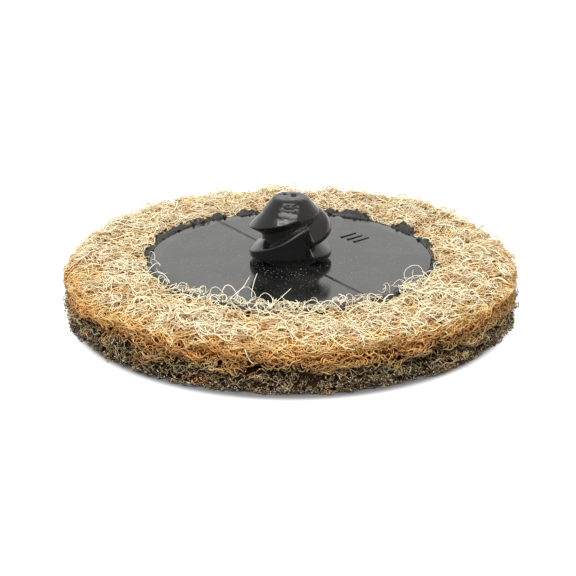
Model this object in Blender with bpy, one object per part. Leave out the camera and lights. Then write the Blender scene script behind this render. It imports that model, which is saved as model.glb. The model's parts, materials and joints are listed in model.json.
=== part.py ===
"""Surface conditioning disc with a moulded screw-on button, for Blender 4.5.

The disc is two bonded layers of fibre web, with a plastic button sunk in the
back of it: a round flange whose edge squeezed out between the fibres, and a
stud with a coarse two-start roll-on thread.

Metres, +Z up. The origin is the middle of the abrasive face, on which the disc
lies, and the stud points up along +Z.
"""

from math import atan2, cos, pi, radians, sin, tau

import bmesh
import bpy
from mathutils import Matrix, Vector, noise

# Fibre web
DISC_DIAMETER = 0.0508
ABRASIVE_THICKNESS = 0.0025
BACKING_THICKNESS = 0.0036
WEB_EDGE_ROUND = 0.0007
LAYER_CLEARANCE = 0.0003

# Matted tufts on the back, and strata of fibres at the cut edge
TUFT_SIZE = 0.0026
TUFT_HEIGHT = 0.0006
STRATUM_LENGTH = 0.0045
STRATUM_THICKNESS = 0.0008
STRATUM_DEPTH = 0.0009
MATTING_OCTAVES = 2

# Button flange
FLANGE_DIAMETER = 0.0315
FLANGE_THICKNESS = 0.0014
FLANGE_EDGE_ROUND = 0.0003
FLANGE_RIM_WIDTH = 0.0013
FLANGE_RIM_FALL = 0.00012
FLANGE_SINK = 0.0002
POCKET_CLEARANCE = 0.0003
FLASH_WIDTH = 0.0003

# Lumps of plastic that squeezed out at the flange's edge: the direction and
# the half width in degrees, then how far each reaches out and stands up.
FLASH_LUMPS = (
    (63.0, 11.0, 0.0011, 0.00040),
    (86.0, 9.0, 0.0006, 0.00025),
    (107.0, 7.0, 0.0010, 0.00035),
    (126.0, 4.5, 0.0008, 0.00030),
    (141.0, 8.0, 0.0011, 0.00035),
    (171.0, 5.0, 0.0005, 0.00015),
    (39.0, 3.5, 0.0011, 0.00045),
    (19.0, 3.5, 0.0006, 0.00030),
    (-6.0, 5.0, 0.0004, 0.00010),
    (-52.0, 4.0, 0.0006, 0.00010),
    (-118.0, 6.0, 0.0005, 0.00010),
)

# Threaded stud
STUD_HEIGHT = 0.0073
THREAD_DIAMETER = 0.0092
ROOT_DIAMETER = 0.0063
TIP_DIAMETER = 0.0039
TIP_TAPER_HEIGHT = 0.0035
TIP_EDGE_ROUND = 0.0003
THREAD_STARTS = 2
THREAD_LEAD = 0.0064
CREST_WIDTH = 0.0005
CREST_ROUND = 0.00018
RIDGE_SINK = 0.0003
UPPER_FLANK_HEIGHT = 0.00130
LOWER_FLANK_HEIGHT = 0.00080
CREST_HEIGHT_AT_LEFT = 0.0038
STUD_ROOT_FILLET = 0.0004

# Steps of the turned and swept surfaces
DISC_STEPS = 144
STUD_STEPS = 48
TUFT_RINGS = 8
BACKING_EDGE_RINGS = 7
ABRASIVE_EDGE_RINGS = 5
SMOOTH_ANGLE = 35.0

# Sizes that follow from the ones above
DISC_RADIUS = DISC_DIAMETER / 2
FLAT_RADIUS = DISC_RADIUS - WEB_EDGE_ROUND - STRATUM_DEPTH
FLANGE_RADIUS = FLANGE_DIAMETER / 2
THREAD_RADIUS = THREAD_DIAMETER / 2
ROOT_RADIUS = ROOT_DIAMETER / 2
TIP_RADIUS = TIP_DIAMETER / 2
BACKING_BOTTOM = ABRASIVE_THICKNESS + LAYER_CLEARANCE
BACKING_TOP = BACKING_BOTTOM + BACKING_THICKNESS
FLANGE_TOP = BACKING_TOP - FLANGE_SINK
FLANGE_BOTTOM = FLANGE_TOP - FLANGE_THICKNESS
POCKET_FLOOR = FLANGE_BOTTOM - POCKET_CLEARANCE
POCKET_RADIUS = FLANGE_RADIUS + FLASH_WIDTH + POCKET_CLEARANCE
STUD_TOP = FLANGE_TOP + STUD_HEIGHT

COLLECTION = "surface_conditioning_disc"
CUTTERS = "cutters"
MERGE = 1e-6


def clear_scene():
    """Removes every object that the file starts with."""
    for obj in list(bpy.data.objects):
        bpy.data.objects.remove(obj)


def new_collection(name):
    """Returns a new collection linked to the scene."""
    collection = bpy.data.collections.new(name)
    bpy.context.scene.collection.children.link(collection)
    return collection


def new_material(name, colour, roughness):
    """Returns a Principled material of one colour."""
    material = bpy.data.materials.new(name)
    material.use_nodes = True
    shader = material.node_tree.nodes["Principled BSDF"]
    shader.inputs["Base Color"].default_value = (*colour, 1.0)
    shader.inputs["Roughness"].default_value = roughness
    shader.inputs["Metallic"].default_value = 0.0
    return material


def new_object(name, bm, collection, material=None):
    """Turns a bmesh into an object in the collection."""
    mesh = bpy.data.meshes.new(name)
    bm.to_mesh(mesh)
    bm.free()
    obj = bpy.data.objects.new(name, mesh)
    collection.objects.link(obj)
    if material:
        mesh.materials.append(material)
    return obj


def spread(first, last, count):
    """Returns count values from first to last, both included."""
    return [first + (last - first) * i / (count - 1) for i in range(count)]


def quarter_round(radius, corner_r, corner_z, points=3):
    """Returns a rounded outer top corner as (r, z) points, from the flat to the wall."""
    centre_r, centre_z = corner_r - radius, corner_z - radius
    angles = spread(pi / 2, 0.0, points)
    return [(centre_r + radius * cos(a), centre_z + radius * sin(a)) for a in angles]


def turned(profile, steps, first=0.0):
    """Spins an (r, z) profile round the Z axis into a closed bmesh, from the angle first."""
    bm = bmesh.new()
    line = [bm.verts.new((r * cos(first), r * sin(first), z)) for r, z in profile]
    edges = [bm.edges.new(pair) for pair in zip(line, line[1:])]
    bmesh.ops.spin(
        bm, geom=line + edges, cent=(0, 0, 0), axis=(0, 0, 1), angle=tau,
        steps=steps, use_merge=True,
    )
    bmesh.ops.remove_doubles(bm, verts=bm.verts, dist=MERGE)
    bmesh.ops.dissolve_degenerate(bm, edges=bm.edges, dist=MERGE)
    bmesh.ops.recalc_face_normals(bm, faces=bm.faces)
    return bm


def smooth_bump(distance, half_width):
    """Returns 1 at distance 0, falling smoothly to 0 at half_width."""
    share = min(abs(distance) / half_width, 1.0)
    return (1 - share ** 3) ** 2


def flash_at(direction):
    """Returns how far the squeezed-out plastic reaches out and stands up.

    The direction is in radians round the axis, from +X towards +Y.
    """
    reach, rise = 0.0, 0.0
    for degrees, half_width, lump_reach, lump_rise in FLASH_LUMPS:
        turn = direction - radians(degrees)
        away = (turn + pi) % tau - pi
        share = smooth_bump(away, radians(half_width))
        reach = max(reach, share * lump_reach)
        rise = max(rise, share * lump_rise)
    return reach, rise


def direction_of(point):
    """Returns the angle of a point round the axis, in radians."""
    return atan2(point.y, point.x)


def flange_outline(direction):
    """Returns the radius of the flange's outer edge, flash included."""
    return FLANGE_RADIUS + FLASH_WIDTH + flash_at(direction)[0]


def pocket_outline(direction):
    """Returns the radius of the pocket that the flange is sunk in."""
    return flange_outline(direction) + POCKET_CLEARANCE


def hollow(place):
    """Returns how deep the matting is hollowed at a place in the noise, from 0 to 1."""
    depth = 0.5 + noise.turbulence(place, MATTING_OCTAVES, False)
    return max(0.0, min(1.0, depth))


def lower_top(vert):
    """Lowers a vertex of the web's back, where its tufts leave a hollow."""
    vert.co.z -= TUFT_HEIGHT * hollow(vert.co / TUFT_SIZE)


def roughen_edge(vert):
    """Draws a vertex of the cut edge in, where the strata leave a hollow."""
    radius = vert.co.xy.length
    share = (radius - FLAT_RADIUS) / (DISC_RADIUS - FLAT_RADIUS)
    along = vert.co / STRATUM_LENGTH
    place = Vector((along.x, along.y, vert.co.z / STRATUM_THICKNESS))
    depth = STRATUM_DEPTH * share * hollow(place)
    vert.co.xy *= (radius - depth) / radius


def make_backing_web(collection, material):
    """The upper layer: tufted fibres, with the pocket for the flange."""
    top_rings = spread(POCKET_RADIUS, FLAT_RADIUS, TUFT_RINGS)
    edge_rings = spread(BACKING_TOP - WEB_EDGE_ROUND, BACKING_BOTTOM, BACKING_EDGE_RINGS)
    profile = [(0.0, POCKET_FLOOR), (POCKET_RADIUS, POCKET_FLOOR)]
    profile += [(r, BACKING_TOP) for r in top_rings]
    profile += quarter_round(WEB_EDGE_ROUND, DISC_RADIUS, BACKING_TOP)
    profile += [(DISC_RADIUS, z) for z in edge_rings[1:]]
    profile += [(0.0, BACKING_BOTTOM)]
    bm = turned(profile, DISC_STEPS)
    for vert in bm.verts:
        radius = vert.co.xy.length
        if radius < MERGE:
            continue
        is_top = vert.co.z > BACKING_TOP - MERGE
        if radius > FLAT_RADIUS + MERGE:
            roughen_edge(vert)
        else:
            outline = pocket_outline(direction_of(vert.co))
            share = (FLAT_RADIUS - radius) / (FLAT_RADIUS - POCKET_RADIUS)
            vert.co.xy *= 1 + share * (outline - POCKET_RADIUS) / radius
        if is_top:
            lower_top(vert)
    new_object("backing_web", bm, collection, material)


def make_abrasive_web(collection, material):
    """The lower layer: denser fibres, cut flat on the face that works."""
    corner = quarter_round(WEB_EDGE_ROUND, DISC_RADIUS, ABRASIVE_THICKNESS)
    edge_rings = spread(ABRASIVE_THICKNESS, WEB_EDGE_ROUND, ABRASIVE_EDGE_RINGS)
    profile = [(0.0, ABRASIVE_THICKNESS)]
    profile += [(DISC_RADIUS, z) for z in edge_rings]
    profile += [(r, ABRASIVE_THICKNESS - z) for r, z in reversed(corner[:-1])]
    profile += [(FLAT_RADIUS, 0.0), (0.0, 0.0)]
    bm = turned(profile, DISC_STEPS)
    for vert in bm.verts:
        if vert.co.xy.length > FLAT_RADIUS + MERGE:
            roughen_edge(vert)
    new_object("abrasive_web", bm, collection, material)


def make_flange(collection):
    """The button's round plate, with the flash that squeezed out round it."""
    outer_radius = FLANGE_RADIUS + FLASH_WIDTH
    rim_top = FLANGE_TOP - FLANGE_RIM_FALL
    groove = rim_top - FLANGE_EDGE_ROUND
    profile = [(0.0, FLANGE_TOP), (FLANGE_RADIUS - FLANGE_RIM_WIDTH, FLANGE_TOP)]
    profile += quarter_round(FLANGE_EDGE_ROUND, FLANGE_RADIUS, rim_top)
    profile += [
        (FLANGE_RADIUS + FLASH_WIDTH / 2, rim_top - FLANGE_EDGE_ROUND / 2),
        (outer_radius, groove),
        (outer_radius, FLANGE_TOP - FLANGE_THICKNESS / 2),
        (FLANGE_RADIUS, FLANGE_BOTTOM),
        (0.0, FLANGE_BOTTOM),
    ]
    bm = turned(profile, DISC_STEPS)
    for vert in bm.verts:
        radius = vert.co.xy.length
        if radius <= FLANGE_RADIUS + MERGE:
            continue
        reach, rise = flash_at(direction_of(vert.co))
        share = (radius - FLANGE_RADIUS) / FLASH_WIDTH
        vert.co.xy *= 1 + share * reach / radius
        if vert.co.z > groove - MERGE:
            vert.co.z += rise
    return new_object("flange_blank", bm, collection)


def ridge_profile():
    """The thread's section as (r, z) points round its crest, which is at z 0.

    Its flanks run on inside the core, so that the two join cleanly.
    """
    depth = THREAD_RADIUS - ROOT_RADIUS
    inner = ROOT_RADIUS - RIDGE_SINK
    run_on = (THREAD_RADIUS - inner) / depth
    half_crest = CREST_WIDTH / 2
    shoulder = CREST_ROUND
    return [
        (inner, -half_crest - LOWER_FLANK_HEIGHT * run_on),
        (THREAD_RADIUS - shoulder, -half_crest - LOWER_FLANK_HEIGHT * shoulder / depth),
        (THREAD_RADIUS, -half_crest + shoulder),
        (THREAD_RADIUS, half_crest - shoulder),
        (THREAD_RADIUS - shoulder, half_crest + UPPER_FLANK_HEIGHT * shoulder / depth),
        (inner, half_crest + UPPER_FLANK_HEIGHT * run_on),
    ]


def make_ridge(start, collection):
    """One start of the right-hand thread, from inside the flange past the tip."""
    low = FLANGE_BOTTOM
    high = STUD_TOP + UPPER_FLANK_HEIGHT
    turns = (high - low) / THREAD_LEAD
    steps = round(turns * STUD_STEPS)
    crest_z = FLANGE_TOP + CREST_HEIGHT_AT_LEFT
    first = pi + tau * start / THREAD_STARTS - tau * (crest_z - low) / THREAD_LEAD
    place = Matrix.Translation((0, 0, low)) @ Matrix.Rotation(first, 4, "Z")
    bm = bmesh.new()
    section = [bm.verts.new(place @ Vector((r, 0.0, z))) for r, z in ridge_profile()]
    loop = [bm.edges.new(pair) for pair in zip(section, section[1:] + section[:1])]
    swept = bmesh.ops.spin(
        bm, geom=section + loop, cent=(0, 0, 0), axis=(0, 0, 1), angle=turns * tau,
        steps=steps, dvec=(0, 0, (high - low) / steps),
    )
    far_loop = [item for item in swept["geom_last"] if isinstance(item, bmesh.types.BMEdge)]
    bmesh.ops.contextual_create(bm, geom=loop)
    bmesh.ops.contextual_create(bm, geom=far_loop)
    bmesh.ops.triangulate(bm, faces=bm.faces)
    bmesh.ops.recalc_face_normals(bm, faces=bm.faces)
    return new_object(f"thread_ridge_{start + 1}", bm, collection)


def make_core(collection):
    """The stud's root cylinder and its fillet, longer than the stud at both ends."""
    fillet_r = ROOT_RADIUS + STUD_ROOT_FILLET
    fillet_z = FLANGE_TOP + STUD_ROOT_FILLET
    past_tip = STUD_TOP + CREST_WIDTH
    profile = [(0.0, FLANGE_BOTTOM), (fillet_r, FLANGE_BOTTOM)]
    profile += [
        (fillet_r - STUD_ROOT_FILLET * sin(a), fillet_z - STUD_ROOT_FILLET * cos(a))
        for a in spread(0.0, pi / 2, 4)
    ]
    profile += [(ROOT_RADIUS, past_tip), (0.0, past_tip)]
    return new_object("stud_core", turned(profile, STUD_STEPS), collection)


def make_envelope(collection):
    """What the stud is trimmed to: a tapered tip over a wall that clears the thread.

    It is turned by half a step, so that its edges cross the thread's cleanly.
    """
    taper = TIP_TAPER_HEIGHT / (THREAD_RADIUS - TIP_RADIUS)
    wall_radius = THREAD_RADIUS + CREST_WIDTH
    foot = FLANGE_TOP - FLANGE_THICKNESS / 2
    profile = [
        (0.0, STUD_TOP),
        (TIP_RADIUS - TIP_EDGE_ROUND / 2, STUD_TOP),
        (TIP_RADIUS + TIP_EDGE_ROUND / 4, STUD_TOP - taper * TIP_EDGE_ROUND / 4),
        (wall_radius, STUD_TOP - taper * (wall_radius - TIP_RADIUS)),
        (wall_radius, foot),
        (0.0, foot),
    ]
    half_step = pi / STUD_STEPS
    return new_object("stud_envelope", turned(profile, STUD_STEPS, half_step), collection)


def boolean(obj, operation, other):
    """Joins, trims or cuts obj with the other object."""
    modifier = obj.modifiers.new(f"{operation.lower()}_{other.name}", "BOOLEAN")
    modifier.operation = operation
    modifier.object = other


def evaluated_bmesh(obj):
    """Returns an object's shape after its modifiers, with doubled vertices merged."""
    bpy.context.view_layer.update()
    graph = bpy.context.evaluated_depsgraph_get()
    bm = bmesh.new()
    bm.from_object(obj, graph)
    bmesh.ops.remove_doubles(bm, verts=bm.verts, dist=MERGE)
    bmesh.ops.dissolve_degenerate(bm, edges=bm.edges, dist=MERGE)
    return bm


def make_button(collection, cutters, material):
    """The moulded button: flange, core and thread as one solid."""
    core = make_core(cutters)
    for start in range(THREAD_STARTS):
        boolean(core, "UNION", make_ridge(start, cutters))
    boolean(core, "INTERSECT", make_envelope(cutters))
    flange = make_flange(cutters)
    boolean(flange, "UNION", core)
    button = new_object("threaded_button", evaluated_bmesh(flange), collection, material)
    button.data.shade_smooth()
    button.data.set_sharp_from_angle(angle=radians(SMOOTH_ANGLE))


def hide_helpers(cutters):
    """Keeps the blanks and cutters out of the render."""
    for obj in cutters.objects:
        obj.hide_render = True
        obj.display_type = "WIRE"


def main():
    """Builds the disc."""
    clear_scene()
    parts = new_collection(COLLECTION)
    cutters = new_collection(CUTTERS)
    tan_fibre = new_material("tan_fibre", (0.62, 0.47, 0.27), 0.85)
    gritty_fibre = new_material("gritty_fibre", (0.12, 0.10, 0.07), 0.9)
    black_nylon = new_material("black_nylon", (0.012, 0.012, 0.013), 0.3)
    make_abrasive_web(parts, gritty_fibre)
    make_backing_web(parts, tan_fibre)
    make_button(parts, cutters, black_nylon)
    hide_helpers(cutters)


main()
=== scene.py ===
"""Looks of a surface conditioning disc, for Blender 4.5.

A moulded black button sits in the back of a mat of curly fibres: cream on the back, amber
towards the middle of the cut edge, and dark and gritty in the layer that works. The frame
gives the sizes and places of the button and of the two webs.

Metres, +Z up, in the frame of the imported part.
"""

import json
import logging
from collections.abc import Callable, Sequence
from dataclasses import dataclass, field
from enum import Enum
from itertools import product
from math import cos, pi, radians, sin, tau

import bmesh
import bpy
import numpy as np
from mathutils import Matrix, Vector

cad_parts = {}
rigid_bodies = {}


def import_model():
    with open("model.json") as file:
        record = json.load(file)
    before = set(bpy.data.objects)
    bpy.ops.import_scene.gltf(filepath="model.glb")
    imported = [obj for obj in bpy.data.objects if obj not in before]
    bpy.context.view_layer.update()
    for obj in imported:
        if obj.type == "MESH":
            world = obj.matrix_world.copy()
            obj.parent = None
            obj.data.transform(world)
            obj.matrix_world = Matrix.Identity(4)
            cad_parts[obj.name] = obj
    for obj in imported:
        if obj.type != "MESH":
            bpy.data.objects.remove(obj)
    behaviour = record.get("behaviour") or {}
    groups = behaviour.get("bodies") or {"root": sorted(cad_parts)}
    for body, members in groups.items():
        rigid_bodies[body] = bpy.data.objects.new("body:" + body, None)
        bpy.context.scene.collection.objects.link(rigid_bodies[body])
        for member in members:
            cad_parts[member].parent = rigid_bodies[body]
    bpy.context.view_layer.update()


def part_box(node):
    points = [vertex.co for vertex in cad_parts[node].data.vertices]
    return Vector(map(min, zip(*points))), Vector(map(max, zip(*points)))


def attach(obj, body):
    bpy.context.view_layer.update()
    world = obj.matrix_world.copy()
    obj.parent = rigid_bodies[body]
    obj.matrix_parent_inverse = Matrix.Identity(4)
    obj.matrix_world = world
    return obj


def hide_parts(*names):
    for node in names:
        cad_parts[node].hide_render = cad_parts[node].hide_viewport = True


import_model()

LOG = logging.getLogger("disc")
MM = 0.001
MERGE = 1e-7
BAKE_MAP = "OFBake"
HASH_PRIMES = np.array((73856093, 19349663, 83492791))
HASH_MIX = 1274126177

# Points in millimetres along the longest stray fibres, most of them over the plate's edge
STRAYS = (
    ((-4.2, -13.2, 6.5), (-4.1, -12.0, 7.0), (-3.9, -11.2, 7.6), (-3.6, -9.8, 8.0)),
    ((-8.7, -13.4, 6.6), (-8.5, -12.8, 7.3), (-7.9, -12.8, 7.5), (-7.3, -13.0, 7.0),
     (-7.1, -13.2, 6.5)),
    ((-7.4, -12.2, 6.6), (-7.0, -11.9, 7.3), (-6.4, -12.2, 7.4), (-5.8, -13.0, 6.9),
     (-5.6, -13.8, 6.5)),
    ((-5.8, -14.1, 6.5), (-5.5, -13.2, 7.2), (-4.7, -13.0, 7.6), (-3.9, -13.5, 7.2),
     (-3.7, -14.0, 6.6)),
    ((-6.7, -14.3, 6.5), (-5.8, -13.3, 7.0), (-5.0, -12.2, 7.4), (-4.4, -9.6, 7.6)),
    ((-2.2, -17.2, 6.7), (-1.4, -16.2, 7.2), (-0.7, -15.7, 7.7), (0.1, -14.7, 8.1)),
    ((0.3, -17.0, 6.6), (-0.4, -16.2, 7.1), (-1.0, -15.2, 7.4)),
    ((-3.0, -16.1, 6.6), (-3.4, -15.3, 7.1), (-2.8, -14.8, 7.6), (-2.1, -15.5, 7.5),
     (-1.9, -16.2, 7.0), (-2.4, -17.0, 6.6)),
    ((1.3, -17.0, 6.6), (1.6, -16.2, 7.0), (2.4, -16.1, 7.3), (3.1, -16.5, 7.0), (3.5, -17.3, 6.6)),
    ((2.9, -17.0, 6.6), (3.5, -16.2, 7.1), (4.3, -16.2, 7.2), (5.0, -16.6, 6.8), (5.5, -17.3, 6.5)),
    ((12.6, -8.5, 6.6), (12.4, -7.3, 7.1), (13.1, -6.8, 7.7), (14.0, -7.0, 7.8),
     (14.5, -7.9, 7.3), (13.9, -9.3, 6.8), (12.9, -10.3, 6.6)),
    ((11.8, -10.7, 6.6), (12.5, -9.6, 7.0), (13.4, -8.8, 7.3), (14.5, -8.6, 7.2),
     (15.4, -8.8, 6.7)),
    ((-15.7, -5.7, 6.6), (-15.3, -5.2, 7.0), (-14.7, -4.5, 7.2), (-14.3, -4.6, 6.9)),
    ((-16.2, -8.8, 6.7), (-15.4, -8.3, 7.2), (-14.4, -8.1, 7.5), (-13.6, -8.3, 7.1),
     (-13.1, -9.2, 6.6)),
    ((18.2, -14.6, 6.7), (18.2, -13.5, 7.1), (19.0, -13.1, 7.3), (19.8, -13.7, 7.3),
     (20.1, -15.0, 7.1), (19.6, -16.6, 6.9), (18.7, -16.6, 6.8)),
    ((14.6, -16.6, 6.8), (14.5, -15.3, 7.2), (15.3, -14.0, 7.4), (16.2, -14.1, 7.2),
     (16.0, -15.6, 7.0), (15.2, -17.1, 6.9), (14.4, -18.4, 6.8)),
    ((-0.6, -20.4, 6.9), (-0.4, -23.4, 7.1), (0.3, -25.5, 7.0), (1.2, -26.4, 6.6),
     (2.4, -26.3, 6.1)),
    ((-0.7, -24.2, 6.9), (-1.4, -25.1, 6.9), (-2.1, -25.9, 6.6), (-2.3, -26.3, 6.0)),
    ((-4.7, -25.6, 5.5), (-4.5, -25.9, 5.0), (-4.2, -26.0, 4.4), (-3.8, -26.1, 4.0)),
    ((-13.6, -21.6, 6.7), (-12.9, -23.6, 6.6), (-12.2, -24.6, 6.0), (-12.6, -24.8, 5.2)),
    ((-9.9, -17.8, 6.8), (-10.1, -21.5, 7.1), (-9.7, -24.1, 6.9), (-8.8, -25.3, 6.5)),
    ((6.2, -21.5, 6.9), (6.9, -24.0, 7.1), (7.4, -25.5, 6.7), (7.7, -26.0, 5.9)),
    ((4.1, -24.8, 6.8), (4.7, -25.8, 6.4), (5.6, -25.9, 5.8), (6.7, -25.6, 5.4)),
    ((10.0, -14.6, 6.7), (9.1, -14.7, 7.1), (8.1, -15.9, 7.2), (7.5, -16.6, 6.8)),
    ((-12.3, -11.3, 6.7), (-11.9, -10.5, 7.1), (-11.2, -11.1, 7.2), (-10.8, -11.9, 6.7)),
    ((-10.9, -12.5, 6.6), (-10.3, -12.3, 7.1), (-9.5, -12.9, 7.1), (-9.2, -13.7, 6.6)),
)

Colour = tuple[float, float, float]
Pair = tuple[float, float]
Triple = tuple[float, float, float]
Limits = tuple[float, float, float, float]
Points = np.ndarray
Chance = np.random.Generator
Mesh = bpy.types.Mesh
Piece = bpy.types.Object
Finish = bpy.types.Material
Socket = bpy.types.NodeSocket
Value = Socket | float | tuple[float, ...]


class Slot(Enum):
    """The record's material slots, each named as its solid is below."""

    BUTTON = "black_nylon"
    BACKING = "tan_fibre"
    ABRASIVE = "gritty_fibre"


class Node(Enum):
    """The solids that the pieces stand for."""

    BUTTON = "threaded_button"
    BACKING = "backing_web"
    ABRASIVE = "abrasive_web"


def rgb(*levels: int) -> Colour:
    """Turns a screen colour, from 0 to 255, into the linear one that a shader takes."""
    shares = [level / 255 for level in levels]
    return tuple(s / 12.92 if s <= 0.04045 else ((s + 0.055) / 1.055) ** 2.4 for s in shares)


def smooth_cap(values: Points, cap: Points | float, width: float) -> Points:
    """Holds values under a cap, easing them off over a width below it."""
    return cap - width * np.logaddexp(0.0, (cap - values) / width)


def smooth_floor(values: Points, floor: Points | float, width: float) -> Points:
    """Holds values over a floor, easing them off over a width above it."""
    return -smooth_cap(-values, -floor, width)


def smooth_step(values: Points, low: float, high: float) -> Points:
    """Returns values as a share from 0 at low to 1 at high, eased at both ends."""
    share = np.clip((values - low) / (high - low), 0.0, 1.0)
    return share * share * (3 - 2 * share)


def bell(values: Points, width: float) -> Points:
    """Returns 1 where values are 0, falling off over a width to both sides."""
    return np.exp(-(values / width) ** 2)


def distance(points: Points) -> Points:
    """Returns how far points are from the Z axis."""
    return np.hypot(points[:, 0], points[:, 1])


def angle_of(points: Points) -> Points:
    """Returns the angle at which points lie round the Z axis."""
    return np.arctan2(points[:, 1], points[:, 0])


def angle_from(direction: Points, middle: float) -> Points:
    """Returns how far angles are from a middle one, from minus to plus half a turn."""
    return (direction - middle + pi) % tau - pi


def polar(direction: Points, radius: Points | float, height: Points) -> Points:
    """Returns the points at the given angles, distances from the axis and heights."""
    return np.stack([radius * np.cos(direction), radius * np.sin(direction), height], 1)


def put_at(points: Points, radius: Points, height: Points) -> Points:
    """Moves points to new distances from the axis and new heights."""
    factor = radius / np.maximum(distance(points), MERGE)
    return np.column_stack([points[:, :2] * factor[:, None], height])


def noise_at(points: Points, size: float | Sequence[float], seed: float = 0.0) -> Points:
    """Reads smooth noise at each point.

    Args:
        points: The points, one to a row.
        size: The size of a lump of the noise, or one size for each axis.
        seed: Moves the noise, so that each use has its own.

    Returns:
        One value to a point, about -1 to 1.
    """
    places = points / np.asarray(size) + seed
    cell = np.floor(places).astype(np.int64)
    share = places - cell
    ease = share ** 3 * (share * (share * 6 - 15) + 10)
    total = np.zeros(len(points))
    for corner in product((0, 1), repeat=3):
        node = (cell + corner) * HASH_PRIMES
        mixed = node[:, 0] ^ node[:, 1] ^ node[:, 2]
        mixed = ((mixed ^ (mixed >> 13)) * HASH_MIX) & 0xFFFFFFFF
        mixed ^= mixed >> 15
        weight = np.prod(np.where(corner, ease, 1 - ease), axis=1)
        total += weight * ((mixed & 0xFFFF) / 0x7FFF - 1)
    return total


def flat_noise(points: Points, size: float, seed: float) -> Points:
    """Reads smooth noise that is the same at every height."""
    return noise_at(points * (1.0, 1.0, 0.0), size, seed)


def reshape(mesh: Mesh, rule: Callable[[Points], Points]) -> None:
    """Moves a mesh's vertices by a rule.

    Args:
        mesh: The mesh.
        rule: Takes the vertices as rows, and returns their new places.
    """
    flat = np.empty(len(mesh.vertices) * 3)
    mesh.vertices.foreach_get("co", flat)
    mesh.vertices.foreach_set("co", rule(flat.reshape(-1, 3)).ravel())
    mesh.update()


def straight(start: Pair, end: Pair, steps: int, first: int = 1) -> list[Pair]:
    """Divides a straight run of an outline into points.

    Args:
        start: The run's start, as (radius, height).
        end: Its end.
        steps: How many steps it has.
        first: The number of the step that the list starts with.

    Returns:
        The points.
    """
    return [tuple(a + (b - a) * i / steps for a, b in zip(start, end))
            for i in range(first, steps + 1)]


def turned(profile: Sequence[Pair], steps: int) -> bmesh.types.BMesh:
    """Spins a profile round the Z axis into a closed shape.

    Args:
        profile: Points of the outline as (radius, height), from axis to axis.
        steps: How many steps the full turn has.

    Returns:
        The turned shape.
    """
    bm = bmesh.new()
    line = [bm.verts.new((radius, 0.0, height)) for radius, height in profile]
    edges = [bm.edges.new(pair) for pair in zip(line, line[1:])]
    bmesh.ops.spin(bm, geom=line + edges, cent=(0, 0, 0), axis=(0, 0, 1), angle=tau,
                   steps=steps, use_merge=True)
    bmesh.ops.remove_doubles(bm, verts=bm.verts, dist=MERGE)
    bmesh.ops.dissolve_degenerate(bm, edges=bm.edges, dist=MERGE)
    bmesh.ops.recalc_face_normals(bm, faces=bm.faces)
    return bm


def crease(mesh: Mesh, angle: float) -> None:
    """Keeps a mesh's inner corners crisp where it is shaded smooth.

    Args:
        mesh: The mesh.
        angle: How sharply a corner must turn inwards to be kept.
    """
    bm = bmesh.new()
    bm.from_mesh(mesh)
    for edge in bm.edges:
        edge.smooth = edge.calc_face_angle_signed(0.0) > -angle
    bm.to_mesh(mesh)
    bm.free()


def to_object(name: str, bm: bmesh.types.BMesh, smooth: bool = True) -> Piece:
    """Turns a bmesh into an object of the scene, and frees it.

    Args:
        name: The piece's name.
        bm: The shape.
        smooth: Whether it is shaded smooth.

    Returns:
        The new object.
    """
    mesh = bpy.data.meshes.new(name)
    bm.to_mesh(mesh)
    bm.free()
    if smooth:
        mesh.shade_smooth()
    obj = bpy.data.objects.new(name, mesh)
    bpy.context.scene.collection.objects.link(obj)
    return obj


def scatter(name: str, subdivisions: int, places: Points, sizes: Points, rng: Chance,
            smooth: bool = True) -> Piece:
    """Scatters turned and stretched copies of a low ball, as one piece.

    Args:
        name: The piece's name.
        subdivisions: How fine the ball is.
        places: The copies' middles.
        sizes: Each copy's half sizes along its own axes.
        rng: The source of chance for their turns.
        smooth: Whether they are shaded smooth.

    Returns:
        The piece.
    """
    turns, _ = np.linalg.qr(rng.normal(size=(len(places), 3, 3)))
    turns *= np.sign(np.linalg.det(turns))[:, None, None]
    bm = bmesh.new()
    bmesh.ops.create_icosphere(bm, subdivisions=subdivisions, radius=1.0)
    kinds = [(kind, len(kind)) for kind in (bm.verts, bm.edges, bm.faces)]
    made = 1
    while made < len(places):
        more = min(made, len(places) - made)
        balls = [part for kind, size in kinds for part in kind[:more * size]]
        bmesh.ops.duplicate(bm, geom=balls)
        made += more
    piece = to_object(name, bm, smooth)

    def spread(points: Points) -> Points:
        """Gives each ball its size, turn and place.

        Args:
            points: The balls' vertices.

        Returns:
            Their new places.
        """
        balls = points.reshape(len(places), -1, 3) * sizes[:, None]
        return (np.einsum("nij,nvj->nvi", turns, balls) + places[:, None]).reshape(-1, 3)

    reshape(piece.data, spread)
    return piece


def fit_out(obj: Piece, material: Finish, node: Node) -> Piece:
    """Dresses a finished piece and ties it to the frame.

    Args:
        obj: The piece.
        material: Its finish.
        node: The solid that the piece stands for.

    Returns:
        The piece.
    """
    obj.data.materials.clear()
    obj.data.materials.append(material)
    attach(obj, "root")
    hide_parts(node.value)
    LOG.info("%s: %d faces", obj.name, len(obj.data.polygons))
    return obj


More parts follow.
